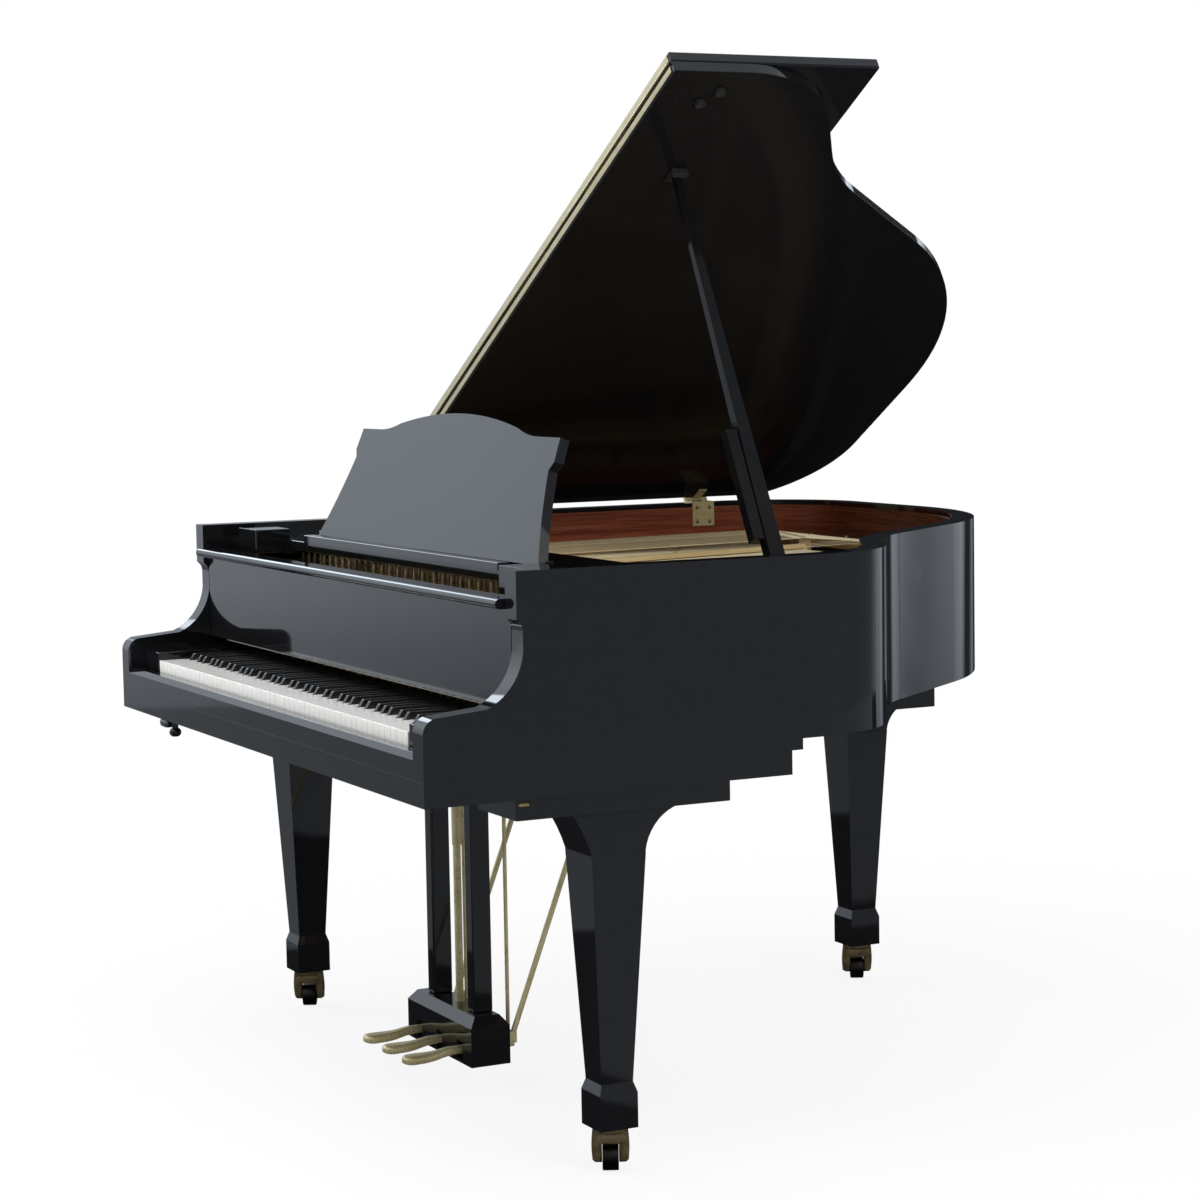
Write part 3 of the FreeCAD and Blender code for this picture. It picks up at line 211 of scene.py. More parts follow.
ring_points = np.stack([ring_radius * np.cos(flat), ring_radius * np.sin(flat), up], -1)
card("ring_card", ring_points, len(bearing), ring_tone)

# The dark floor card: its left edge runs aslant past the player's place, its treble edge bends in
# under the case. Rows run across the floor, with a soft step of tone at each edge.
far, soft, lie = 14, 0.03, 0.002
row_y = np.array([-12, -3, -0.27, 0.02, 0.9, 3, 12])
treble_edge = np.maximum(np.interp(row_y, [-0.27, 0.02, 0.9], [1.15, 0.57, 0.2]), -1.7 - row_y)
columns = [-far - abs(row_y), -1.9 - row_y, -1.84 - row_y, treble_edge - soft, treble_edge + soft,
           far + abs(row_y)]
along = np.stack(columns, -1)
across = np.repeat(row_y[:, None], len(columns), 1)
card("floor_card", np.stack([along, across, 0 * along + lie], -1), len(columns),
     np.tile([0.22, 0.22, 0.02, 0.02, 0.27, 0.27], (len(row_y), 1)))

# Two more cards: a light one on the floor behind the bent side, which the flank mirrors, and a grey
# one overhead, which the lid's edges mirror.
behind = (bearing > 93) & (bearing < 118)
flat, out = np.meshgrid(np.radians(bearing[behind]), np.array([2.5, ring_radius]))
card("flank_card", np.stack([out * np.cos(flat), out * np.sin(flat), 0 * out + 2 * lie], -1), behind.sum(),
     np.stack([0.5 * ring_tone[0, behind], ring_tone[0, behind]]))
over_x, over_y = np.meshgrid(np.linspace(-1, 3, 3), np.linspace(0.6, 4, 3))
over_height, over_tone = 5.2, 0.8
card("overhead_card", np.stack([over_x, over_y, 0 * over_x + over_height], -1), 3, np.full(9, over_tone))


# Outer rim: layers of hardwood bent in a press, lacquered black outside and polished to a mirror.
# The lacquer has a faint long wave from the polishing wheel, fine haze and a little dust.
def finish_of(name):
    """A new material with a principled surface: its tree, the surface and the object's coordinates."""
    material = bpy.data.materials.new(name)
    tree = node_tree(material)
    surface = add(tree, "BsdfPrincipled")
    out = add(tree, "OutputMaterial")
    tree.links.new(surface.outputs[0], out.inputs["Surface"])
    place = add(tree, "TexCoord")
    return material, tree, surface, place.outputs["Object"]


def noise(tree, place, scale, detail=2.0, stretch=(1, 1, 1), turn=0.0):
    """Cloudy noise at so many cells a metre, turned about the upright axis, then stretched."""
    mapped = add(tree, "Mapping", {"Scale": stretch, "Rotation": (0, 0, turn)})
    made = add(tree, "TexNoise", {"Scale": scale, "Detail": detail})
    tree.links.new(place, mapped.inputs["Vector"])
    tree.links.new(mapped.outputs[0], made.inputs["Vector"])
    return made.outputs["Fac"]


def spread(tree, value, low, high, begin=0.3, end=0.7):
    """A value moved from the range begin to end onto low to high."""
    made = add(tree, "MapRange", {"From Min": begin, "From Max": end, "To Min": low, "To Max": high})
    tree.links.new(value, made.inputs["Value"])
    return made.outputs[0]


def blended(tree, value, colours):
    """A colour ramp over a value, its stops evenly set across the middle of the range."""
    ramp = add(tree, "ValToRGB")
    while len(ramp.color_ramp.elements) < len(colours):
        ramp.color_ramp.elements.new(0.5)
    stops = np.linspace(0.28, 0.72, len(colours))
    for element, stop, colour in zip(ramp.color_ramp.elements, stops, colours):
        element.position = stop
        element.color = (*colour, 1)
    tree.links.new(value, ramp.inputs[0])
    return ramp.outputs[0]


def raised_by(tree, surface, height, strength, distance):
    """Bump from a height value."""
    bump = add(tree, "Bump", {"Strength": strength, "Distance": distance})
    tree.links.new(height, bump.inputs["Height"])
    tree.links.new(bump.outputs[0], surface.inputs["Normal"])


def polished_lacquer(name, bend, rubbed=None):
    """Black lacquer; a higher bend of light makes a stronger mirror. A rubbed face is dull: its way
    is given, and how far along that way the dulling starts and is complete."""
    material, tree, surface, place = finish_of(name)
    haze = noise(tree, place, 9, 4)
    tree.links.new(spread(tree, haze, 0.03, 0.075), surface.inputs["Roughness"])
    dust = noise(tree, place, 60, 6)
    colours = [(0.005, 0.005, 0.0055), (0.0068, 0.0068, 0.0076)]
    tree.links.new(blended(tree, dust, colours), surface.inputs["Base Color"])
    surface.inputs["IOR"].default_value = bend
    if rubbed:
        way, start, full = rubbed
        dull_bend = 1.14
        reach = add(tree, "VectorMath", {1: way}, operation="DOT_PRODUCT")
        tree.links.new(place, reach.inputs[0])
        along = reach.outputs["Value"]
        tree.links.new(spread(tree, along, bend, dull_bend, start, full), surface.inputs["IOR"])
        tree.links.new(spread(tree, along, 0.05, 0.12, start, full), surface.inputs["Roughness"])
    raised_by(tree, surface, noise(tree, place, 4, 1), 0.04, 0.004)
    return material


lacquer = polished_lacquer("black_lacquer", 1.56)


def dress(node, material, edge=0.0, angle=30, segments=3):
    """Give a solid its finish and ease its sharp edges by a small round."""
    piece = nodes[node]
    piece.data.materials.clear()
    piece.data.materials.append(material)
    piece.data.polygons.foreach_set("use_smooth", np.ones(len(piece.data.polygons), bool))
    weld = piece.modifiers.new("weld", "WELD")
    weld.merge_threshold = 1e-5
    if edge:
        ease = piece.modifiers.new("ease", "BEVEL")
        ease.width = edge
        ease.segments = segments
        ease.limit_method = "ANGLE"
        ease.angle_limit = math.radians(angle)
        ease.face_strength_mode = "FSTR_ALL"
    even = piece.modifiers.new("even", "WEIGHTED_NORMAL")
    even.use_face_influence = bool(edge)
    even.keep_sharp = False


dress("case_rim", lacquer, 0.0015)


# Inside of the rim: a strip of mahogany veneer over the plate, satin finished, that ends in a small
# bead below the black top edge.
def wood(name, colours, along, scale, rough, gloss=0.5):
    """Wood whose grain runs where the stretch is small: broad figure, fine pores and a low bump."""
    material, tree, surface, place = finish_of(name)
    figure = noise(tree, place, scale, 5, along)
    pores = noise(tree, place, scale * 6, 3, along)
    both = add(tree, "Math", operation="ADD", use_clamp=True)
    tree.links.new(spread(tree, figure, 0.1, 0.75), both.inputs[0])
    tree.links.new(spread(tree, pores, -0.15, 0.25), both.inputs[1])
    tree.links.new(blended(tree, both.outputs[0], colours), surface.inputs["Base Color"])
    tree.links.new(spread(tree, pores, rough, rough + 0.15), surface.inputs["Roughness"])
    surface.inputs["Specular IOR Level"].default_value = gloss
    raised_by(tree, surface, pores, 0.12, 0.0006)
    return material


rim_mahogany = wood("rim_mahogany", [(0.115, 0.024, 0.009), (0.165, 0.038, 0.015), (0.215, 0.058, 0.024)],
                    (0.8, 0.8, 30), 2.2, 0.22)
half, front, length = 0.745, -0.78, 1.545
rim_thick = 0.04


def case_line(inset, start, step=0.012):
    """Points of the case in plan, moved in by inset, from the treble side round the shoulder,
    waist, tail and corner to the bass side: each bend is centre + radius * (cos, sin) of an angle."""
    bend, flank = math.radians(60), math.radians(36)
    round_shoulder, hollow, round_tail, slope = 0.23, 0.42, 0.65, 0.11
    polar = lambda centre, radius, angle: np.stack([centre[0] + radius * np.cos(angle),
                                                    centre[1] + radius * np.sin(angle)], -1)
    shoulder = np.array((half - round_shoulder, 0.69 + front))
    leave = polar(shoulder, round_shoulder, bend)
    waist = polar(leave + slope * np.array((-math.sin(bend), math.cos(bend))), hollow, bend)
    out = polar(waist, -hollow, flank)
    rise = length + front - out[1] - round_tail * (1 - math.sin(flank))
    tail = polar(out + rise * np.array((-math.tan(flank), 1)), -round_tail, flank)
    corner = np.array((-half + round_shoulder, length + front - round_shoulder))
    bends = ((shoulder, round_shoulder - inset, 0, bend), (waist, -hollow - inset, bend, flank),
             (tail, round_tail - inset, flank, math.pi / 2),
             (corner, round_shoulder - inset, math.pi / 2, math.pi))
    stops = [np.array([[half - inset, start + front]])]
    stops += [polar(centre, radius, np.linspace(low, high, 18)) for centre, radius, low, high in bends]
    stops += [np.array([[-half + inset, start + front]])]
    line = np.concatenate(stops)
    gone = np.concatenate([[0], np.cumsum(np.linalg.norm(np.diff(line, axis=0), axis=1))])
    marks = np.linspace(0, gone[-1], int(gone[-1] / step))
    return np.stack([np.interp(marks, gone, line[:, 0]), np.interp(marks, gone, line[:, 1])], -1)


def woven(rows, columns, round_rows=False, round_columns=False):
    """The four corners of every cell of a grid of points; a round direction joins its ends."""
    index = np.arange(rows * columns).reshape(rows, columns)
    if round_rows:
        index = np.concatenate([index, index[:1]], 0)
    if round_columns:
        index = np.concatenate([index, index[:, :1]], 1)
    return np.stack([index[:-1, :-1], index[1:, :-1], index[1:, 1:], index[:-1, 1:]], -1).reshape(-1, 4)


def new_piece(name, points, faces, material, body, slot, sharp=40):
    """A piece from its points and faces, its seams merged and its faces turned outward."""
    mesh = bpy.data.meshes.new(name)
    mesh.from_pydata(np.asarray(points, float).reshape(-1, 3).tolist(), [], [list(f) for f in faces])
    shape = bmesh.new()
    shape.from_mesh(mesh)
    bmesh.ops.remove_doubles(shape, verts=shape.verts, dist=1e-6)
    bmesh.ops.recalc_face_normals(shape, faces=shape.faces)
    shape.to_mesh(mesh)
    shape.free()
    mesh.polygons.foreach_set("use_smooth", np.ones(len(mesh.polygons), bool))
    mesh.set_sharp_from_angle(angle=math.radians(sharp))
    mesh.materials.append(material)
    piece = bpy.data.objects.new(name, mesh)
    scene.collection.objects.link(piece)
    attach(piece, body)
    return piece


def carried(path, across, profile):
    """A closed profile carried along a level path: point = path + across * profile x + up * profile z.
    The two ends are closed by the profile itself."""
    path, across, profile = np.asarray(path), np.asarray(across), np.asarray(profile)
    level = path[:, None, :] + across[:, None, :] * profile[None, :, :1]
    points = np.concatenate([level, np.broadcast_to(profile[None, :, 1:], level.shape[:2] + (1,))], -1)
    rows, columns = level.shape[:2]
    faces = woven(rows, columns, round_columns=True).tolist()
    faces += [list(range(columns)), list(range((rows - 1) * columns, rows * columns))]
    return points, faces


def square_to(path):
    """Level unit vectors square to a plan path, to its left as it runs."""
    run = np.gradient(path, axis=0)
    run /= np.linalg.norm(run, axis=1, keepdims=True)
    return np.stack([-run[:, 1], run[:, 0]], -1)


plate_top = 0.9
rim_top = 0.974
veneer_start = 0.535
wall = case_line(rim_thick, veneer_start)
veneer_low, veneer_high, bead = plate_top + 0.0005, rim_top - 0.009, 0.0025
glued, face = -0.0002, 0.0007
turned = np.linspace(-math.pi / 2, math.pi / 2, 7)
bead_curve = np.stack([face + 0.8 * bead * np.cos(turned), veneer_high - bead + bead * np.sin(turned)], -1)
veneer_profile = np.concatenate([[(glued, veneer_low), (face, veneer_low), (face, veneer_high - 2 * bead)],
                                 bead_curve, [(glued, veneer_high)]])
new_piece("inner_veneer", *carried(wall, square_to(wall), veneer_profile), rim_mahogany, "case", "mahogany")

# Inner rim: layers of maple with a mahogany face, bent like the outer rim and glued inside it.
# The soundboard and the plate rest on its top.
dress("inner_rim", rim_mahogany, 0.001)

# Keybed, keyslip, key blocks and stretcher: solid boards under and round the keys, lacquered like
# the rim. The keyslip is screwed from below, the key blocks to the keybed.
close_edge, eased_edge = 0.0004, 0.002
for name in ("keybed", "keyslip"):
    dress(name, lacquer, close_edge)
for name in ("key_blocks", "stretcher"):
    dress(name, lacquer, eased_edge)

# Belly rail and back posts: thick spruce beams under the soundboard, planed and left bare. They
# are glued into notches in the rim.
post_wood = wood("post_spruce", [(0.30, 0.19, 0.10), (0.45, 0.31, 0.17), (0.55, 0.40, 0.24)],
                 (30, 2, 30), 3.0, 0.55)
dress("case_beams", post_wood, 0.0015)

# Pinblock: many crossed layers of hard maple, seen as fine stripes on its edge. It is screwed up
# under the front of the plate and holds the tuning pins by friction.
block_maple = wood("pinblock_maple", [(0.22, 0.13, 0.07), (0.40, 0.27, 0.15), (0.50, 0.36, 0.21)],
                   (1, 1, 60), 5.0, 0.5)
dress("pinblock", block_maple, 0.001)


# Iron plate: cast in sand, filled and sprayed with bronze paint under clear lacquer; the casting's
# fine pebble shows through the paint.
def plate_bronze():
    """Bronze paint, patchy in tone, over fine grit and under a thin clear coat."""
    material, tree, surface, place = finish_of("bronze_paint")
    patch = noise(tree, place, 7, 3)
    colours = [(0.63, 0.48, 0.22), (0.73, 0.57, 0.29), (0.81, 0.66, 0.36)]
    tree.links.new(blended(tree, patch, colours), surface.inputs["Base Color"])
    grit = noise(tree, place, 420, 3)
    tree.links.new(spread(tree, grit, 0.3, 0.48), surface.inputs["Roughness"])
    surface.inputs["Metallic"].default_value = 0.25
    surface.inputs["Coat Weight"].default_value = 0.25
    raised_by(tree, surface, grit, 0.25, 0.0006)
    return material


bronze = plate_bronze()
dress("iron_plate", bronze, 0.0025)


# Plate bolts: nickelled steel bolts with a flange and a domed head, driven through the plate's edge
# into the inner rim all round the case.
def metal(name, colours, rough, spots, scratch=0.15, metallic=1.0):
    """Metal with tarnish in patches, fine scratches in its gloss and a low bump from them."""
    material, tree, surface, place = finish_of(name)
    patch = noise(tree, place, spots, 5)
    tree.links.new(blended(tree, patch, colours), surface.inputs["Base Color"])
    fine = noise(tree, place, spots * 14, 4, (1, 1, 0.25))
    tree.links.new(spread(tree, fine, rough[0], rough[1]), surface.inputs["Roughness"])
    surface.inputs["Metallic"].default_value = metallic
    raised_by(tree, surface, fine, scratch, 0.0004)
    return material


def lathe(profile, sides):
    """A profile of (radius, height) turned about the upright axis: (r cos, r sin, height)."""
    profile = np.asarray(profile, float)
    angle = np.arange(sides) * 2 * math.pi / sides
    ring = np.stack([np.cos(angle), np.sin(angle)], -1)
    heights = np.broadcast_to(profile[:, None, 1:], (len(profile), sides, 1))
    points = np.concatenate([profile[:, None, :1] * ring[None], heights], -1)
    return points, woven(len(profile), sides, round_columns=True)


def repeated(points, faces, places, turns=None):
    """One shape set at many places; turns are 3 by 3 matrices, one for each place."""
    points = np.asarray(points).reshape(-1, 3)
    places = np.asarray(places, float)
    if turns is None:
        every = np.broadcast_to(points, (len(places),) + points.shape)
    else:
        every = np.einsum("kij,nj->kni", np.asarray(turns), points)
    every = every + places[:, None, :]
    steps = np.arange(len(places))[:, None, None] * len(points)
    return every, (np.asarray(faces)[None] + steps).reshape(-1, np.asarray(faces).shape[-1])


bolt_steel = metal("bolt_nickel", [(0.42, 0.40, 0.36), (0.62, 0.60, 0.55)], (0.2, 0.38), 60)
bolt_count, bolt_inset, bolt_start = 19, 0.083, 0.66
flange_line = case_line(bolt_inset, bolt_start, 0.001)
bolt_places = flange_line[np.linspace(30, len(flange_line) - 60, bolt_count).astype(int)]
bolt_places = np.column_stack([bolt_places, np.full(bolt_count, plate_top)])
bolt_profile = [(0, 0), (0.011, 0), (0.011, 0.0018), (0.0085, 0.0024), (0.0085, 0.006), (0.0062, 0.0085),
                (0, 0.0094)]
new_piece("plate_bolts", *repeated(*lathe(bolt_profile, 12), bolt_places), bolt_steel, "case", "steel", 30)


# Soundboard: quartered spruce boards edge glued on the slant, their rings close and straight, under
# amber varnish.
def board_spruce():
    """Spruce with close straight rings on the slant, a shade of its own for each board, varnished."""
    material, tree, surface, place = finish_of("spruce")
    slant = math.radians(38)
    rings = noise(tree, place, 2.4, 4, (130, 1.2, 20), slant)
    boards = noise(tree, place, 2.0, 0, (5, 0.02, 0.02), slant)
    both = add(tree, "Math", operation="ADD", use_clamp=True)
    tree.links.new(spread(tree, rings, 0.1, 0.7), both.inputs[0])
    tree.links.new(spread(tree, boards, -0.12, 0.16), both.inputs[1])
    colours = [(0.38, 0.20, 0.075), (0.54, 0.33, 0.14), (0.63, 0.42, 0.20)]
    tree.links.new(blended(tree, both.outputs[0], colours), surface.inputs["Base Color"])
    tree.links.new(spread(tree, rings, 0.24, 0.36), surface.inputs["Roughness"])
    surface.inputs["Coat Weight"].default_value = 0.3
    raised_by(tree, surface, rings, 0.06, 0.0004)
    return material


dress("soundboard", board_spruce(), 0.0006)

# Bridges: bars of hard maple glued and screwed to the soundboard. The strings cross them and pass
# their sound down into the board.
bridge_maple = wood("bridge_maple", [(0.20, 0.115, 0.055), (0.34, 0.215, 0.115), (0.44, 0.30, 0.17)],
                    (6, 6, 40), 4.0, 0.45)
dress("bridges", bridge_maple, 0.0015)


# Strings: one copper-wound wire for each low note, two for the upper bass and three plain steel
# wires for the rest, each from its pin over the front bar and the bridge to the plate.
string_steel = metal("string_steel", [(0.74, 0.63, 0.40), (0.86, 0.75, 0.50)], (0.34, 0.48), 40, 0.15, 0.3)
string_copper = metal("string_copper", [(0.62, 0.47, 0.25), (0.74, 0.60, 0.36)], (0.36, 0.48), 50, 0.15, 0.4)
string_height, string_front = 0.908, -0.318
bass_count, note_count = 26, 88
note = np.arange(note_count)
low_share = note / (bass_count - 1)
high_share = (note - bass_count) / (note_count - 1 - bass_count)
is_bass = note < bass_count
lean = np.where(is_bass, math.radians(8), -np.radians(16 - 12 * high_share))
struts_passed = (note > 45).astype(int) + (note > 65)
strut_room = 0.014
bass_first, bass_span, treble_first, treble_span = -0.590, 0.270, -0.270, 0.8
treble_x = treble_first + treble_span * high_share + strut_room * struts_passed
start_x = np.where(is_bass, bass_first + bass_span * low_share, treble_x)
longest, bass_loss, shortest, treble_gain = 0.846, 0.066, 0.140, 0.52
bass_length = longest - bass_loss * low_share
treble_length = shortest + treble_gain * np.clip(1 - high_share, 0, 1) ** 1.6
sounding = np.where(is_bass, bass_length, treble_length)
start = np.stack([start_x, np.full(note_count, string_front)], -1)
heading = np.stack([np.sin(lean), np.cos(lean)], -1)
beside = np.stack([np.cos(lean), -np.sin(lean)], -1)

# How far each wire reaches behind its bridge is read from the solid wires.
wire_mesh = nodes["strings"].data
corners = np.empty(len(wire_mesh.vertices) * 3)
wire_mesh.vertices.foreach_get("co", corners)
from_start = corners.reshape(1, -1, 3)[..., :2] - start[:, None]
along = (from_start * heading[:, None]).sum(-1)
aside = np.abs((from_start * beside[:, None]).sum(-1))
on_wire = 0.0012
reach = np.where(aside < on_wire, along, 0).max(1)

single_count = 10
wires_of = np.where(note < single_count, 1, np.where(is_bass, 2, 3))
owner = np.repeat(note, wires_of)
rank = np.concatenate([np.arange(count) - (count - 1) / 2 for count in wires_of])
block_front, first_row, pin_row, pin_step = -0.488, 0.038, 0.028, 0.009
pin_depth = block_front + first_row + pin_row * (owner % 3) + pin_step * rank
bass_gap, treble_gap = 0.0045, 0.003
shift = rank * np.where(is_bass[owner], bass_gap, treble_gap)
line_start = start[owner] + beside[owner] * shift[:, None]
to_pin = (line_start[:, 1] - pin_depth) / heading[owner][:, 1]
pin_place = line_start - heading[owner] * to_pin[:, None]
bass_bridge_rise = 0.018
bridge_rise = np.where(is_bass[owner], bass_bridge_rise, 0.0)


def wires(lengths, heights, radii, sides):
    """Round wires along straight runs: ring k of a wire is its point at lengths[k] and heights[k]
    plus radius * (cos, sin) in the plane square to the run."""
    angle = np.arange(sides) * 2 * math.pi / sides
    ring = np.stack([np.cos(angle), np.sin(angle)], -1)
    level = line_start[:, None, :] + heading[owner][:, None, :] * lengths[..., None]
    middle = np.concatenate([level, heights[..., None]], -1)
    across = np.concatenate([beside[owner], np.zeros((len(owner), 1))], -1)
    sideward = across[:, None, None, :] * ring[None, None, :, :1]
    upward = np.array([0, 0, 1.0]) * ring[None, None, :, 1:]
    points = middle[:, :, None, :] + radii[:, None, None, None] * (sideward + upward)
    return points, woven(lengths.shape[1], sides, round_columns=True)


def many(points, faces, keep):
    """The kept wires of a set as one list of points and faces, with their ends closed."""
    points = points[keep]
    count, rows, sides = points.shape[:3]
    ends = np.array([range(sides), range((rows - 1) * sides, rows * sides)])
    steps = np.arange(count)[:, None, None] * rows * sides
    closed = (ends[None] + steps).reshape(-1, sides).tolist()
    return points.reshape(-1, 3), (np.asarray(faces)[None] + steps).reshape(-1, 4).tolist() + closed


zero = np.zeros(len(owner))
full = np.full(len(owner), string_height)
pin_edge, end_gap = 0.003, 0.0015
lengths = np.stack([-to_pin + pin_edge, zero, sounding[owner], reach[owner] - end_gap], -1)
heights = np.stack([full, full, full + bridge_rise, full], -1)
bass_radius, treble_radius = 0.0006, 0.00045
radii = np.where(is_bass[owner], bass_radius, treble_radius)
everything = np.ones(len(owner), bool)
points, faces = many(*wires(lengths, heights, radii, 6), everything)
strings = new_piece("string_wires", points, faces, string_steel, "case", "steel")
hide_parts("strings")

bare_front, bare_rear = 0.022, 0.024
wound = np.stack([zero + bare_front, sounding[owner] - bare_rear], -1)
wound_heights = string_height + bridge_rise[:, None] * wound / sounding[owner][:, None]
wound_radii = np.where(note[owner] < single_count, 0.0019, 0.0014)
points, faces = many(*wires(wound, wound_heights, wound_radii, 8), is_bass[owner])
new_piece("string_windings", points, faces, string_copper, "case", "brass")

# Tuning pins: nickelled steel pins driven into the pinblock, tapered at the top for the tuner's key,
# each with three coils of its string. The profile is in millimetres.
pin_profile = np.array([(3.3, 0), (3.3, 5.0), (4.3, 5.6), (3.5, 6.3), (4.3, 7.0), (3.5, 7.7), (4.3, 8.4),
                        (3.3, 9.2), (3.3, 12), (2.9, 13), (2.3, 19.5), (0, 20)]) / 1000
# The pins are coloured a pale brown-gold, not nickel: painted light, so that the pins in the shade under the
# music shelf look lit and blend with the plate.
pin_gold_painted_light = metal("pin_gold_painted_light", [(0.50, 0.40, 0.24), (0.66, 0.55, 0.36)], (0.40, 0.55), 80, 0.15, 0.4)
pin_feet = np.column_stack([pin_place, np.full(len(owner), plate_top)])
pins = new_piece("tuning_pins_coiled", *repeated(*lathe(pin_profile, 8), pin_feet), pin_gold_painted_light,
                 "case", "steel", 35)
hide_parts("tuning_pins")

# Front bar: a half-round bar of polished brass that lies on the plate. The strings press on it and
# start to sound there.
bar_turn = np.linspace(0, math.pi, 9)
bar_half, bar_rise, bar_points = 0.0045, 0.0074, 40
bar_profile = np.stack([bar_half * np.cos(bar_turn), plate_top + bar_rise * np.sin(bar_turn)], -1)
bar_bass, bar_treble = -0.612, 0.575
bar_path = np.stack([np.linspace(bar_bass, bar_treble, bar_points), np.full(bar_points, string_front)], -1)
brass = metal("polished_brass", [(0.60, 0.43, 0.17), (0.75, 0.57, 0.27)], (0.14, 0.26), 30)
new_piece("front_bar", *carried(bar_path, square_to(bar_path), bar_profile), brass, "case", "brass")

# Bridge pins: coppered steel pins driven into the bridge, one beside each wire, which hold the wire
# to the bridge.
bridge_pin_radius, bridge_pin_length, beside_wire = 0.0008, 0.0055, 0.0012
bridge_points = line_start + heading[owner] * sounding[owner][:, None] + beside[owner] * beside_wire
pin_places = np.column_stack([bridge_points, string_height + bridge_rise - 0.003])
bridge_pin_profile = [(0, 0), (bridge_pin_radius, 0), (bridge_pin_radius, bridge_pin_length),
                      (0, bridge_pin_length)]
new_piece("bridge_pins", *repeated(*lathe(bridge_pin_profile, 5), pin_places), string_copper, "case", "brass")


# Keys: spruce sticks with moulded covers. The white covers wrap the front and the top as far as the
# fallboard, the black ones are solid noses on top of their sticks.
def beyond(tree, place, axis, level):
    """1 where the object's coordinate is past a level."""
    part = add(tree, "SeparateXYZ")
    over = add(tree, "Math", {1: level}, operation="GREATER_THAN")
    tree.links.new(place, part.inputs[0])
    tree.links.new(part.outputs[axis], over.inputs[0])
    return over.outputs[0]


def joined_masks(tree, first, second, how):
    """Two masks added, subtracted or multiplied."""
    made = add(tree, "Math", operation=how)
    tree.links.new(first, made.inputs[0])
    tree.links.new(second, made.inputs[1])
    return made.outputs[0]


def two_tones(tree, mask, first, second):
    """The first colour where the mask is 0, the second where it is 1."""
    made = add(tree, "Mix", data_type="RGBA")
    tree.links.new(mask, made.inputs["Factor"])
    tree.links.new(first, made.inputs["A"])
    tree.links.new(second, made.inputs["B"])
    return made.outputs["Result"]


def two_values(tree, mask, low, high):
    """The low value where the mask is 0, the high one where it is 1."""
    made = add(tree, "MapRange", {"To Min": low, "To Max": high})
    tree.links.new(mask, made.inputs["Value"])
    return made.outputs[0]


stick_colours = [(0.38, 0.25, 0.13), (0.52, 0.37, 0.21), (0.60, 0.45, 0.28)]
cover_end = front + 0.23


def key_finish(name, colours, cover_low, front_edge, rough):
    """A stick of spruce with a cover above a level, back to the fallboard, and on its front."""
    material, tree, surface, place = finish_of(name)
    behind = beyond(tree, place, "Y", cover_end)
    upper = joined_masks(tree, beyond(tree, place, "Z", cover_low), behind, "SUBTRACT")
    rear = beyond(tree, place, "Y", front_edge)
    stick = joined_masks(tree, rear, upper, "SUBTRACT")
    cover = add(tree, "Math", {0: 1.0}, operation="SUBTRACT", use_clamp=True)
    tree.links.new(stick, cover.inputs[1])
    stain = noise(tree, place, 45, 5)
    grain = noise(tree, place, 5, 4, (60, 2, 60))
    tree.links.new(two_tones(tree, cover.outputs[0], blended(tree, grain, stick_colours),
                             blended(tree, stain, colours)), surface.inputs["Base Color"])
    tree.links.new(two_values(tree, cover.outputs[0], 0.6, rough), surface.inputs["Roughness"])
    raised_by(tree, surface, noise(tree, place, 260, 2), 0.03, 0.0003)
    return material


key_top = 0.724
white_front, black_front = front + 0.034, front + 0.0855
white_finish = key_finish("white_key_cover", [(0.88, 0.87, 0.83), (0.92, 0.91, 0.875)], key_top - 0.003,
                          white_front, 0.16)
black_finish = key_finish("black_key_cover", [(0.006, 0.006, 0.006), (0.014, 0.0135, 0.013)], key_top - 0.004,
                          black_front, 0.27)
for name in ("c", "d", "e", "f", "g", "a", "b"):
    dress("keys_" + name, white_finish, 0.0008)
for name in ("c_sharp", "d_sharp", "f_sharp", "g_sharp", "a_sharp"):
    dress("keys_" + name, black_finish, 0.0016)

# Keyframe: beech rails, with a rounded one that the keys rock on. The whole frame slides on the
# keybed when the left pedal is pressed.
frame_beech = wood("frame_beech", [(0.36, 0.22, 0.12), (0.48, 0.32, 0.19), (0.56, 0.40, 0.25)],
                   (2, 40, 40), 4.0, 0.5)
dress("keyframe", frame_beech, 0.001)


# Action: a rail and posts of beech with a hammer for each note, its head wrapped in pressed felt.
# It stands on the keyframe behind the fallboard.
def felt_and(name, felt_colours, other_colours, axis, level, other_rough):
    """Felt above a level and plain stuff below it; the felt is fuzzy and quite dull."""
    material, tree, surface, place = finish_of(name)
    mask = beyond(tree, place, axis, level)
    fuzz = noise(tree, place, 500, 4)
    grain = noise(tree, place, 6, 4, (40, 2, 40))
    other = blended(tree, grain, other_colours)
    felt = blended(tree, fuzz, felt_colours)
    tree.links.new(two_tones(tree, mask, other, felt), surface.inputs["Base Color"])
    tree.links.new(two_values(tree, mask, other_rough, 0.95), surface.inputs["Roughness"])
    raised_by(tree, surface, fuzz, 0.3, 0.0005)
    return material


felt_low = plate_top - 0.040
hammer_felt = felt_and("hammer_felt", [(0.62, 0.58, 0.49), (0.76, 0.72, 0.63)], stick_colours,
                       "Z", felt_low, 0.5)
dress("action", hammer_felt, 0.001)

# Dampers: black wooden heads on white felt that lie on the strings, each on a wire from the lifting
# tray below.
head_low = string_height + 0.0062
damper_heads = felt_and("damper_heads", [(0.010, 0.010, 0.011), (0.022, 0.022, 0.023)],
                        [(0.55, 0.53, 0.47), (0.70, 0.68, 0.62)], "Z", head_low, 0.9)
dress("dampers", damper_heads, 0.0012)

# Fallboard: one lacquered board with a rounded lip; it turns on two pins in the arms. A strip of
# pale felt under its lower edge keeps dust out of the keys.
dress("fallboard", lacquer, 0.0015)


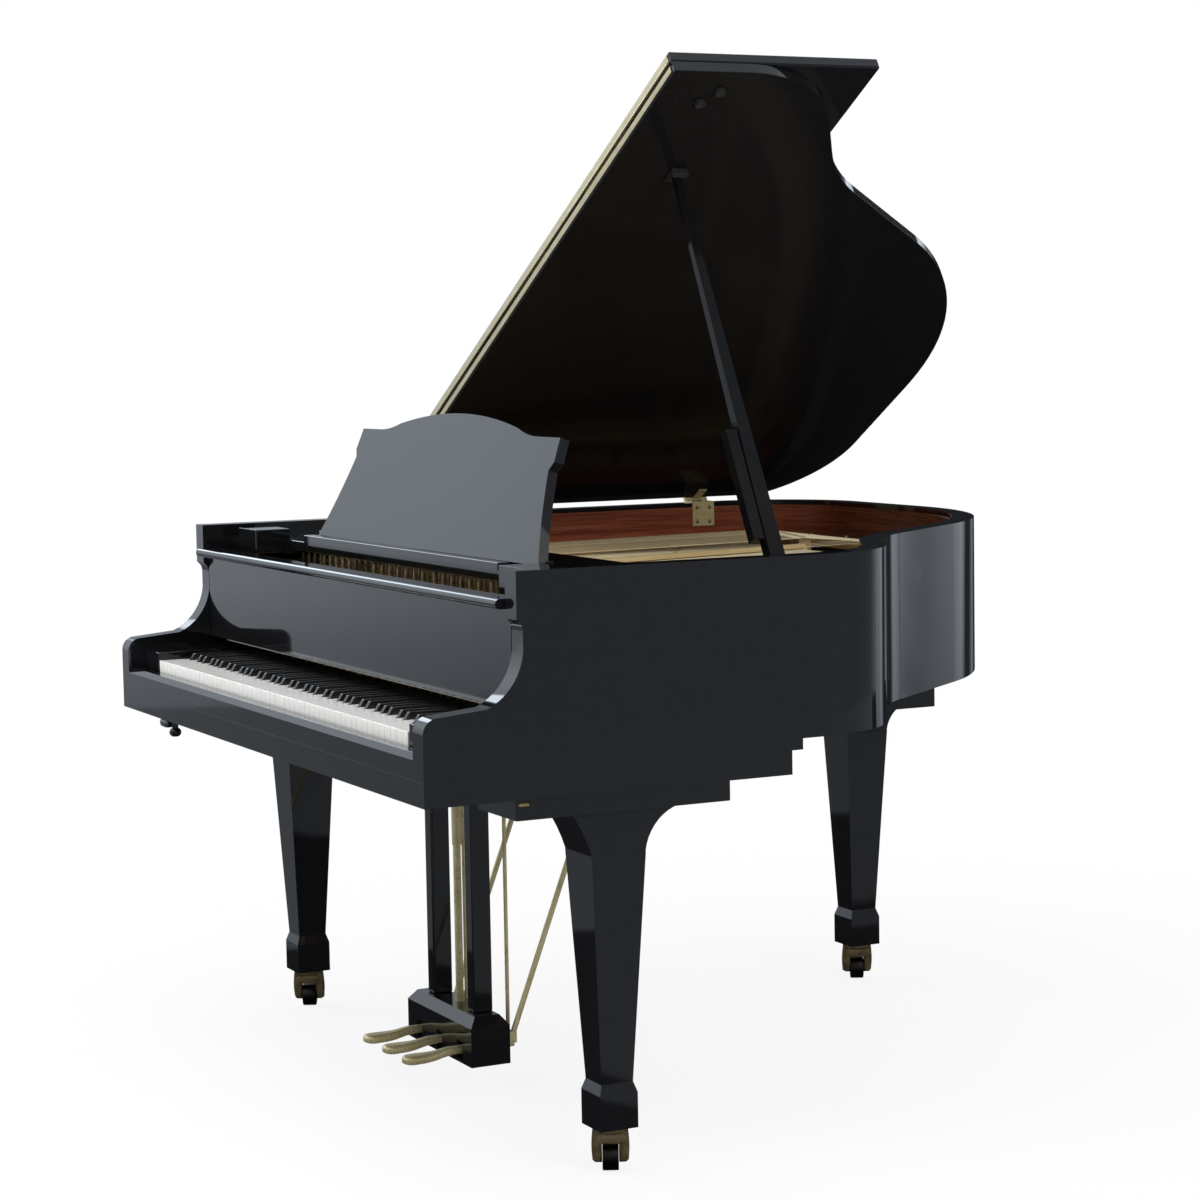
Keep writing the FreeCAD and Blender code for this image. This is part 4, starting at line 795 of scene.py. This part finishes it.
def felt_strip(name, colours):
    """Woven felt: fine fuzz in its colour, dullness and height, and a soft sheen."""
    material, tree, surface, place = finish_of(name)
    fuzz = noise(tree, place, 600, 5)
    tree.links.new(blended(tree, fuzz, colours), surface.inputs["Base Color"])
    tree.links.new(spread(tree, fuzz, 0.85, 1.0), surface.inputs["Roughness"])
    surface.inputs["Sheen Weight"].default_value = 0.4
    raised_by(tree, surface, fuzz, 0.4, 0.0006)
    return material


pale_felt = felt_strip("name_felt", [(0.40, 0.35, 0.27), (0.50, 0.45, 0.37)])
fall_bottom = key_top + 0.033
felt_turn = np.linspace(0, 2 * math.pi, 12, endpoint=False)
felt_deep, felt_rise, felt_half, felt_points = 0.0065, 0.0022, 0.612, 60
felt_level, felt_depth = fall_bottom - 0.0012, front + 0.1765
felt_profile = np.stack([-felt_deep * np.cos(felt_turn), felt_level + felt_rise * np.sin(felt_turn)], -1)
felt_path = np.stack([np.linspace(-felt_half, felt_half, felt_points), np.full(felt_points, felt_depth)], -1)
new_piece("name_felt_strip", *carried(felt_path, square_to(felt_path), felt_profile), pale_felt,
          "fallboard", "felt")

# Music shelf, its rails and side trays: lacquered boards. The rails and trays are fixed to the
# cheeks, and the shelf slides on them.
for name in ("shelf_rails", "music_shelf"):
    dress(name, lacquer, 0.0018)

# Music desk: a shaped panel lacquered on both sides, hinged on two pins at its foot. It leans back on
# a strut that folds with it.
dress("music_desk", lacquer, 0.0022)
dress("desk_strut", lacquer, 0.001)

# Lid: two thick lacquered boards. The front leaf is folded back onto the main leaf. Their outer faces
# are polished, the inner ones only rubbed: under the main leaf, and on top of the folded one.
lid_rise = math.radians(30.8)
lid_under = (math.sin(lid_rise), 0, -math.cos(lid_rise))
leaf_inside = (-math.sin(lid_rise), 0, math.cos(lid_rise))
under_rub = (lid_under, -1.2235, -1.2215)  # the lower face lies 1.221 m from the origin
leaf_rub = (leaf_inside, 1.2575, 1.2595)  # and the folded leaf's upper face 1.260 m
dress("lid_main", polished_lacquer("lid_lacquer", 1.5, under_rub), 0.002)
dress("lid_front", polished_lacquer("leaf_lacquer", 1.5, leaf_rub), 0.0035)

# Long hinge along the fold and the lid's hinges on the spine: brass strip rolled round a pin, screwed
# to the leaves and to the inside of the rim.
pale_brass = metal("pale_brass", [(0.48, 0.41, 0.25), (0.60, 0.52, 0.33)], (0.2, 0.32), 30)
for name in ("long_hinge_main", "long_hinge_front"):
    dress(name, pale_brass)
hinge_brass = metal("hinge_brass", [(0.56, 0.46, 0.23), (0.68, 0.57, 0.31)], (0.22, 0.36), 30, 0.15, 0.55)
for name in ("spine_hinges_case", "spine_hinges_lid"):
    dress(name, hinge_brass, 0.0008)

# Screws: round-headed brass screws, four in each spine hinge's leaf, driven through it into the
# inside of the rim.
screw_profile = [(0, -0.0002), (0.0042, -0.0002), (0.0042, 0.0003), (0.0032, 0.0012), (0.0018, 0.0016),
                 (0, 0.0017)]
sideways = np.array([[0, 0, 1], [0, 1, 0], [-1, 0, 0]], float)
hinge_depths = (0.6, 1.25)
screw_near, screw_far, screw_high, screw_low = 0.011, 0.041, rim_top - 0.010, rim_top - 0.040
screw_count = 4 * len(hinge_depths)
along_leaf = np.array((screw_near, screw_far, screw_near, screw_far))
screw_y = np.concatenate([depth + front + along_leaf for depth in hinge_depths])
screw_z = np.tile((screw_high, screw_high, screw_low, screw_low), len(hinge_depths))
leaf_face = -half + rim_thick + 0.00265
screw_places = np.column_stack([np.full(screw_count, leaf_face), screw_y, screw_z])
screw_turns = np.repeat(sideways[None], screw_count, 0)
new_piece("hinge_screws", *repeated(*lathe(screw_profile, 12), screw_places, screw_turns), brass,
          "case", "brass", 30)

# Props: tapered hardwood sticks in black lacquer. The long one turns on a brass pivot in a bracket on
# the treble rim, the short one on the long one's foot.
prop_lacquer = polished_lacquer("prop_lacquer", 1.16)
dress("lid_prop", prop_lacquer, 0.004)
dress("half_prop", prop_lacquer, 0.0025)
dark_brass = metal("aged_brass", [(0.20, 0.135, 0.055), (0.36, 0.26, 0.115), (0.46, 0.345, 0.165)],
                   (0.26, 0.44), 45)
dress("prop_bracket", dark_brass, 0.0008)


# Lid fittings: a black catch for the prop's head and two black rubber bumpers, screwed to the
# underside of the lid.
def black_rubber():
    """Black rubber, grey in places where its wax has come out."""
    material, tree, surface, place = finish_of("black_rubber")
    bloom = noise(tree, place, 120, 4)
    colours = [(0.010, 0.010, 0.010), (0.028, 0.027, 0.026)]
    tree.links.new(blended(tree, bloom, colours), surface.inputs["Base Color"])
    tree.links.new(spread(tree, bloom, 0.5, 0.7), surface.inputs["Roughness"])
    surface.inputs["Specular IOR Level"].default_value = 0.2
    raised_by(tree, surface, bloom, 0.1, 0.0004)
    return material


dress("lid_fittings", black_rubber(), 0.0012)

# Legs and their blocks: square, tapered hardwood in black lacquer. The blocks are glued under the
# case, and each leg is screwed up into its block.
slight_corner = 12
dress("legs", lacquer, 0.002, slight_corner)
dress("leg_blocks", lacquer, 0.0025)


# Leg locks: a small cast brass lever on the outer side of each front block. It turns on a screw to
# free the leg.
def rounded_bar(length, wide, thick, rings=12, sides=16):
    """A bar along y with round ends: ring half widths follow sqrt(1 - t * t) near each end, and each
    ring is a rounded box."""
    along = -np.cos(np.linspace(0, math.pi, rings))
    girth = np.clip(1 - along ** 8, 0, 1) ** 0.5
    angle = np.linspace(0, 2 * math.pi, sides, endpoint=False)
    soft = lambda wave: np.sign(wave) * np.abs(wave) ** 0.7
    x = girth[:, None] * soft(np.cos(angle))[None] * thick / 2
    z = girth[:, None] * soft(np.sin(angle))[None] * wide / 2
    y = np.broadcast_to(along[:, None] * length / 2, x.shape)
    return np.stack([x, y, z], -1), woven(rings, sides, round_columns=True)


lever_out, lever_depth, lever_height = 0.7391, 0.167, 0.6155
lever_places = [(side * lever_out, front + lever_depth, lever_height) for side in (1, -1)]
new_piece("leg_lock_levers", *repeated(*rounded_bar(0.019, 0.0055, 0.0034), lever_places), brass,
          "case", "brass", 50)

# Fallboard lock: a small black block screwed under the keybed's front, with a turned wooden knob
# beside it.
lock_places = [(-0.505, front + 0.0085, 0.6165)]
new_piece("lock_block", *repeated(*rounded_bar(0.016, 0.0155, 0.05), lock_places), lacquer,
          "case", "black_lacquer", 50)
knob_places = [(-0.468, front + 0.0125, 0)]
knob_profile = [(0, 0.624), (0.006, 0.624), (0.006, 0.611), (0.010, 0.608), (0.0115, 0.603), (0.010, 0.598),
                (0.006, 0.595), (0, 0.5945)]
new_piece("lock_knob", *repeated(*lathe(knob_profile, 20), knob_places), lacquer, "case", "black_lacquer", 40)


# Casters: hoods of cast brass gone brown, each a round plate, a crown and two cheeks that hold the
# axle; iron wheels with a groove and a raised hub.
def shells(*parts):
    """Several closed shells as one list of points and faces."""
    points, faces, count = [], [], 0
    for some, cells in parts:
        some = np.asarray(some, float).reshape(-1, 3)
        points.append(some)
        faces += [[corner + count for corner in cell] for cell in cells]
        count += len(some)
    return np.concatenate(points), faces


def caster_cheek(side):
    """Rounded boxes stacked from the crown down past the axle; the last ones shrink like a circle."""
    rows, sides, round_from = 28, 24, 0.84
    share = np.linspace(0, 1, rows)
    cap = np.sqrt(np.clip(1 - np.clip((share - round_from) / 0.16, 0, 1) ** 2, 0, 1))
    lean = share ** 1.3
    angle = np.linspace(0, 2 * math.pi, sides, endpoint=False)
    soft = lambda wave: np.sign(wave) * np.abs(wave) ** 0.55
    thick = (0.0074 + 0.0010 * np.sin(math.pi * share)) * cap ** 0.5
    wide = (0.0168 - 0.0048 * lean) * cap
    x = side * (0.0136 + thick)[:, None] + thick[:, None] * soft(np.cos(angle))[None]
    y = (0.003 + 0.012 * lean)[:, None] + wide[:, None] * soft(np.sin(angle))[None]
    z = np.broadcast_to((0.0706 - 0.0576 * share)[:, None], x.shape)
    return np.stack([x, y, z], -1), woven(rows, sides, round_columns=True).tolist() + [list(range(sides))]


hood_plate = lathe(np.array([(0, 70.4), (25.5, 70.4), (27, 71.4), (27, 75.6), (25.5, 76.6), (8, 76.6),
                             (8, 113), (0, 113.5)]) / 1000, 40)
quarter = np.array([[0, -1, 0], [1, 0, 0], [0, 0, 1]], float)
hood_crown = repeated(*rounded_bar(0.0575, 0.0235, 0.0335, 24, 24), [(0, 0.003, 0.059)], [quarter])
rivet = lathe([(0, -0.0005), (0.0062, -0.0005), (0.0062, 0.0006), (0.0045, 0.0018), (0, 0.0022)], 20)
outward = [np.array([[0, 0, side], [0, 1, 0], [-side, 0, 0]], float) for side in (1, -1)]
rivets = repeated(*rivet, [(side * 0.0273, 0.015, 0.022) for side in (1, -1)], outward)
hood = [hood_plate, hood_crown, caster_cheek(1), caster_cheek(-1), rivets]
wheel_profile = np.array([(3.2, -13), (9, -13), (10, -12), (16, -12), (17.5, -13), (20.6, -13), (21.6, -12.2),
                          (22, -11), (22, 11), (21.6, 12.2), (20.6, 13), (17.5, 13), (16, 12), (10, 12),
                          (9, 13), (3.2, 13), (3.2, -13)]) / 1000
wheel_iron = metal("wheel_iron", [(0.030, 0.028, 0.026), (0.075, 0.068, 0.058)], (0.34, 0.5), 60)
hood_brass = metal("brown_brass", [(0.12, 0.085, 0.04), (0.21, 0.155, 0.08), (0.29, 0.22, 0.12)],
                   (0.3, 0.46), 45, 0.15, 0.7)
axle_turn = math.radians(63)
swivelled = np.array([[math.cos(axle_turn), -math.sin(axle_turn), 0],
                      [math.sin(axle_turn), math.cos(axle_turn), 0], [0, 0, 1]])
onto_axle = np.array([[-math.sin(axle_turn), 0, math.cos(axle_turn)],
                      [math.cos(axle_turn), 0, math.sin(axle_turn)], [0, 1, 0]])
leg_places = {"treble": (0.668, front + 0.34, 0), "bass": (-0.668, front + 0.34, 0),
              "rear": (-0.313, front + 1.409, 0)}
for name, stem in leg_places.items():
    points, faces = shells(*hood)
    hooded = new_piece("caster_hood_" + name, points @ swivelled.T + np.array(stem), faces, hood_brass,
                       "caster_fork_" + name, "aged_brass", 50)
    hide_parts("caster_fork_" + name)
    low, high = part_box("caster_wheel_" + name)
    middle = (np.array(low) + np.array(high)) / 2
    wheel = new_piece("caster_roller_" + name, *repeated(*lathe(wheel_profile, 40), [middle], [onto_axle]),
                      wheel_iron, "caster_wheel_" + name, "aged_brass", 35)
    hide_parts("caster_wheel_" + name)

# Lyre: a head block screwed under the keybed, two posts and the pedal box below, all of hardwood in
# black lacquer.
dress("lyre_frame", lacquer, 0.003)
dress("lyre_box", lacquer, 0.0025)

# Lyre stays, the rod between the posts and the pedal rods: drawn brass, dull from handling. The stays
# brace the box against the player's foot.
dull_brass = metal("dull_brass", [(0.52, 0.43, 0.22), (0.62, 0.53, 0.29), (0.70, 0.61, 0.37)],
                   (0.24, 0.4), 26, 0.15, 0.6)
dress("lyre_braces", dull_brass, 0.001)
for name in ("left", "middle", "right"):
    dress("pedal_rod_" + name, dull_brass, 0.0006)


# Pedals: cast brass, a round club with a domed top in front and a straight lever behind, which turns
# on the axle in the pedal box.
def pedal_shape(middle_x):
    """Rings along the pedal: half width and half thickness are smooth functions of the length, and
    each ring is a rounded box (cos and sin raised to a power)."""
    tip, neck, heel, level = -0.554, -0.463, -0.342, 0.0765
    rows, sides = 40, 20
    share = np.linspace(0, 1, rows)
    depth = tip + (heel - tip) * share ** 1.5
    round_tip = np.sqrt(np.clip(1 - (1 - np.clip((depth - tip) / 0.017, 0, 1)) ** 2, 0, 1))
    slim = 1 / (1 + np.exp((depth - (tip + neck) / 2 - 0.008) / 0.010))
    half_width = (0.0095 + 0.0095 * slim) * round_tip
    half_thick = np.where(depth < neck, 0.0075, 0.0068) * (0.35 + 0.65 * round_tip)
    half_thick = half_thick * np.where(share == 0, 0, 1)
    angle = np.linspace(0, 2 * math.pi, sides, endpoint=False)
    power = lambda wave: np.sign(wave) * np.abs(wave) ** 0.6
    x = middle_x + half_width[:, None] * power(np.cos(angle))[None]
    dome = 0.0012 * slim[:, None] * np.clip(np.sin(angle), 0, 1)[None]
    sunk = 0.0075 / (1 + np.exp((depth - neck + 0.02) / 0.009))
    z = level - sunk[:, None] + half_thick[:, None] * power(np.sin(angle))[None] + dome
    y = np.broadcast_to(depth[:, None], x.shape)
    points = np.stack([x, y, z], -1)
    heel_end = list(range((rows - 1) * sides, rows * sides))
    return points, woven(rows, sides, round_columns=True).tolist() + [heel_end]


pedal_gap = 0.09
for name, middle_x in (("left", -pedal_gap), ("middle", 0.0), ("right", pedal_gap)):
    pedal = new_piece("pedal_club_" + name, *pedal_shape(middle_x), dull_brass,
                      "pedal_" + name, "aged_brass", 50)
    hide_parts("pedal_" + name)
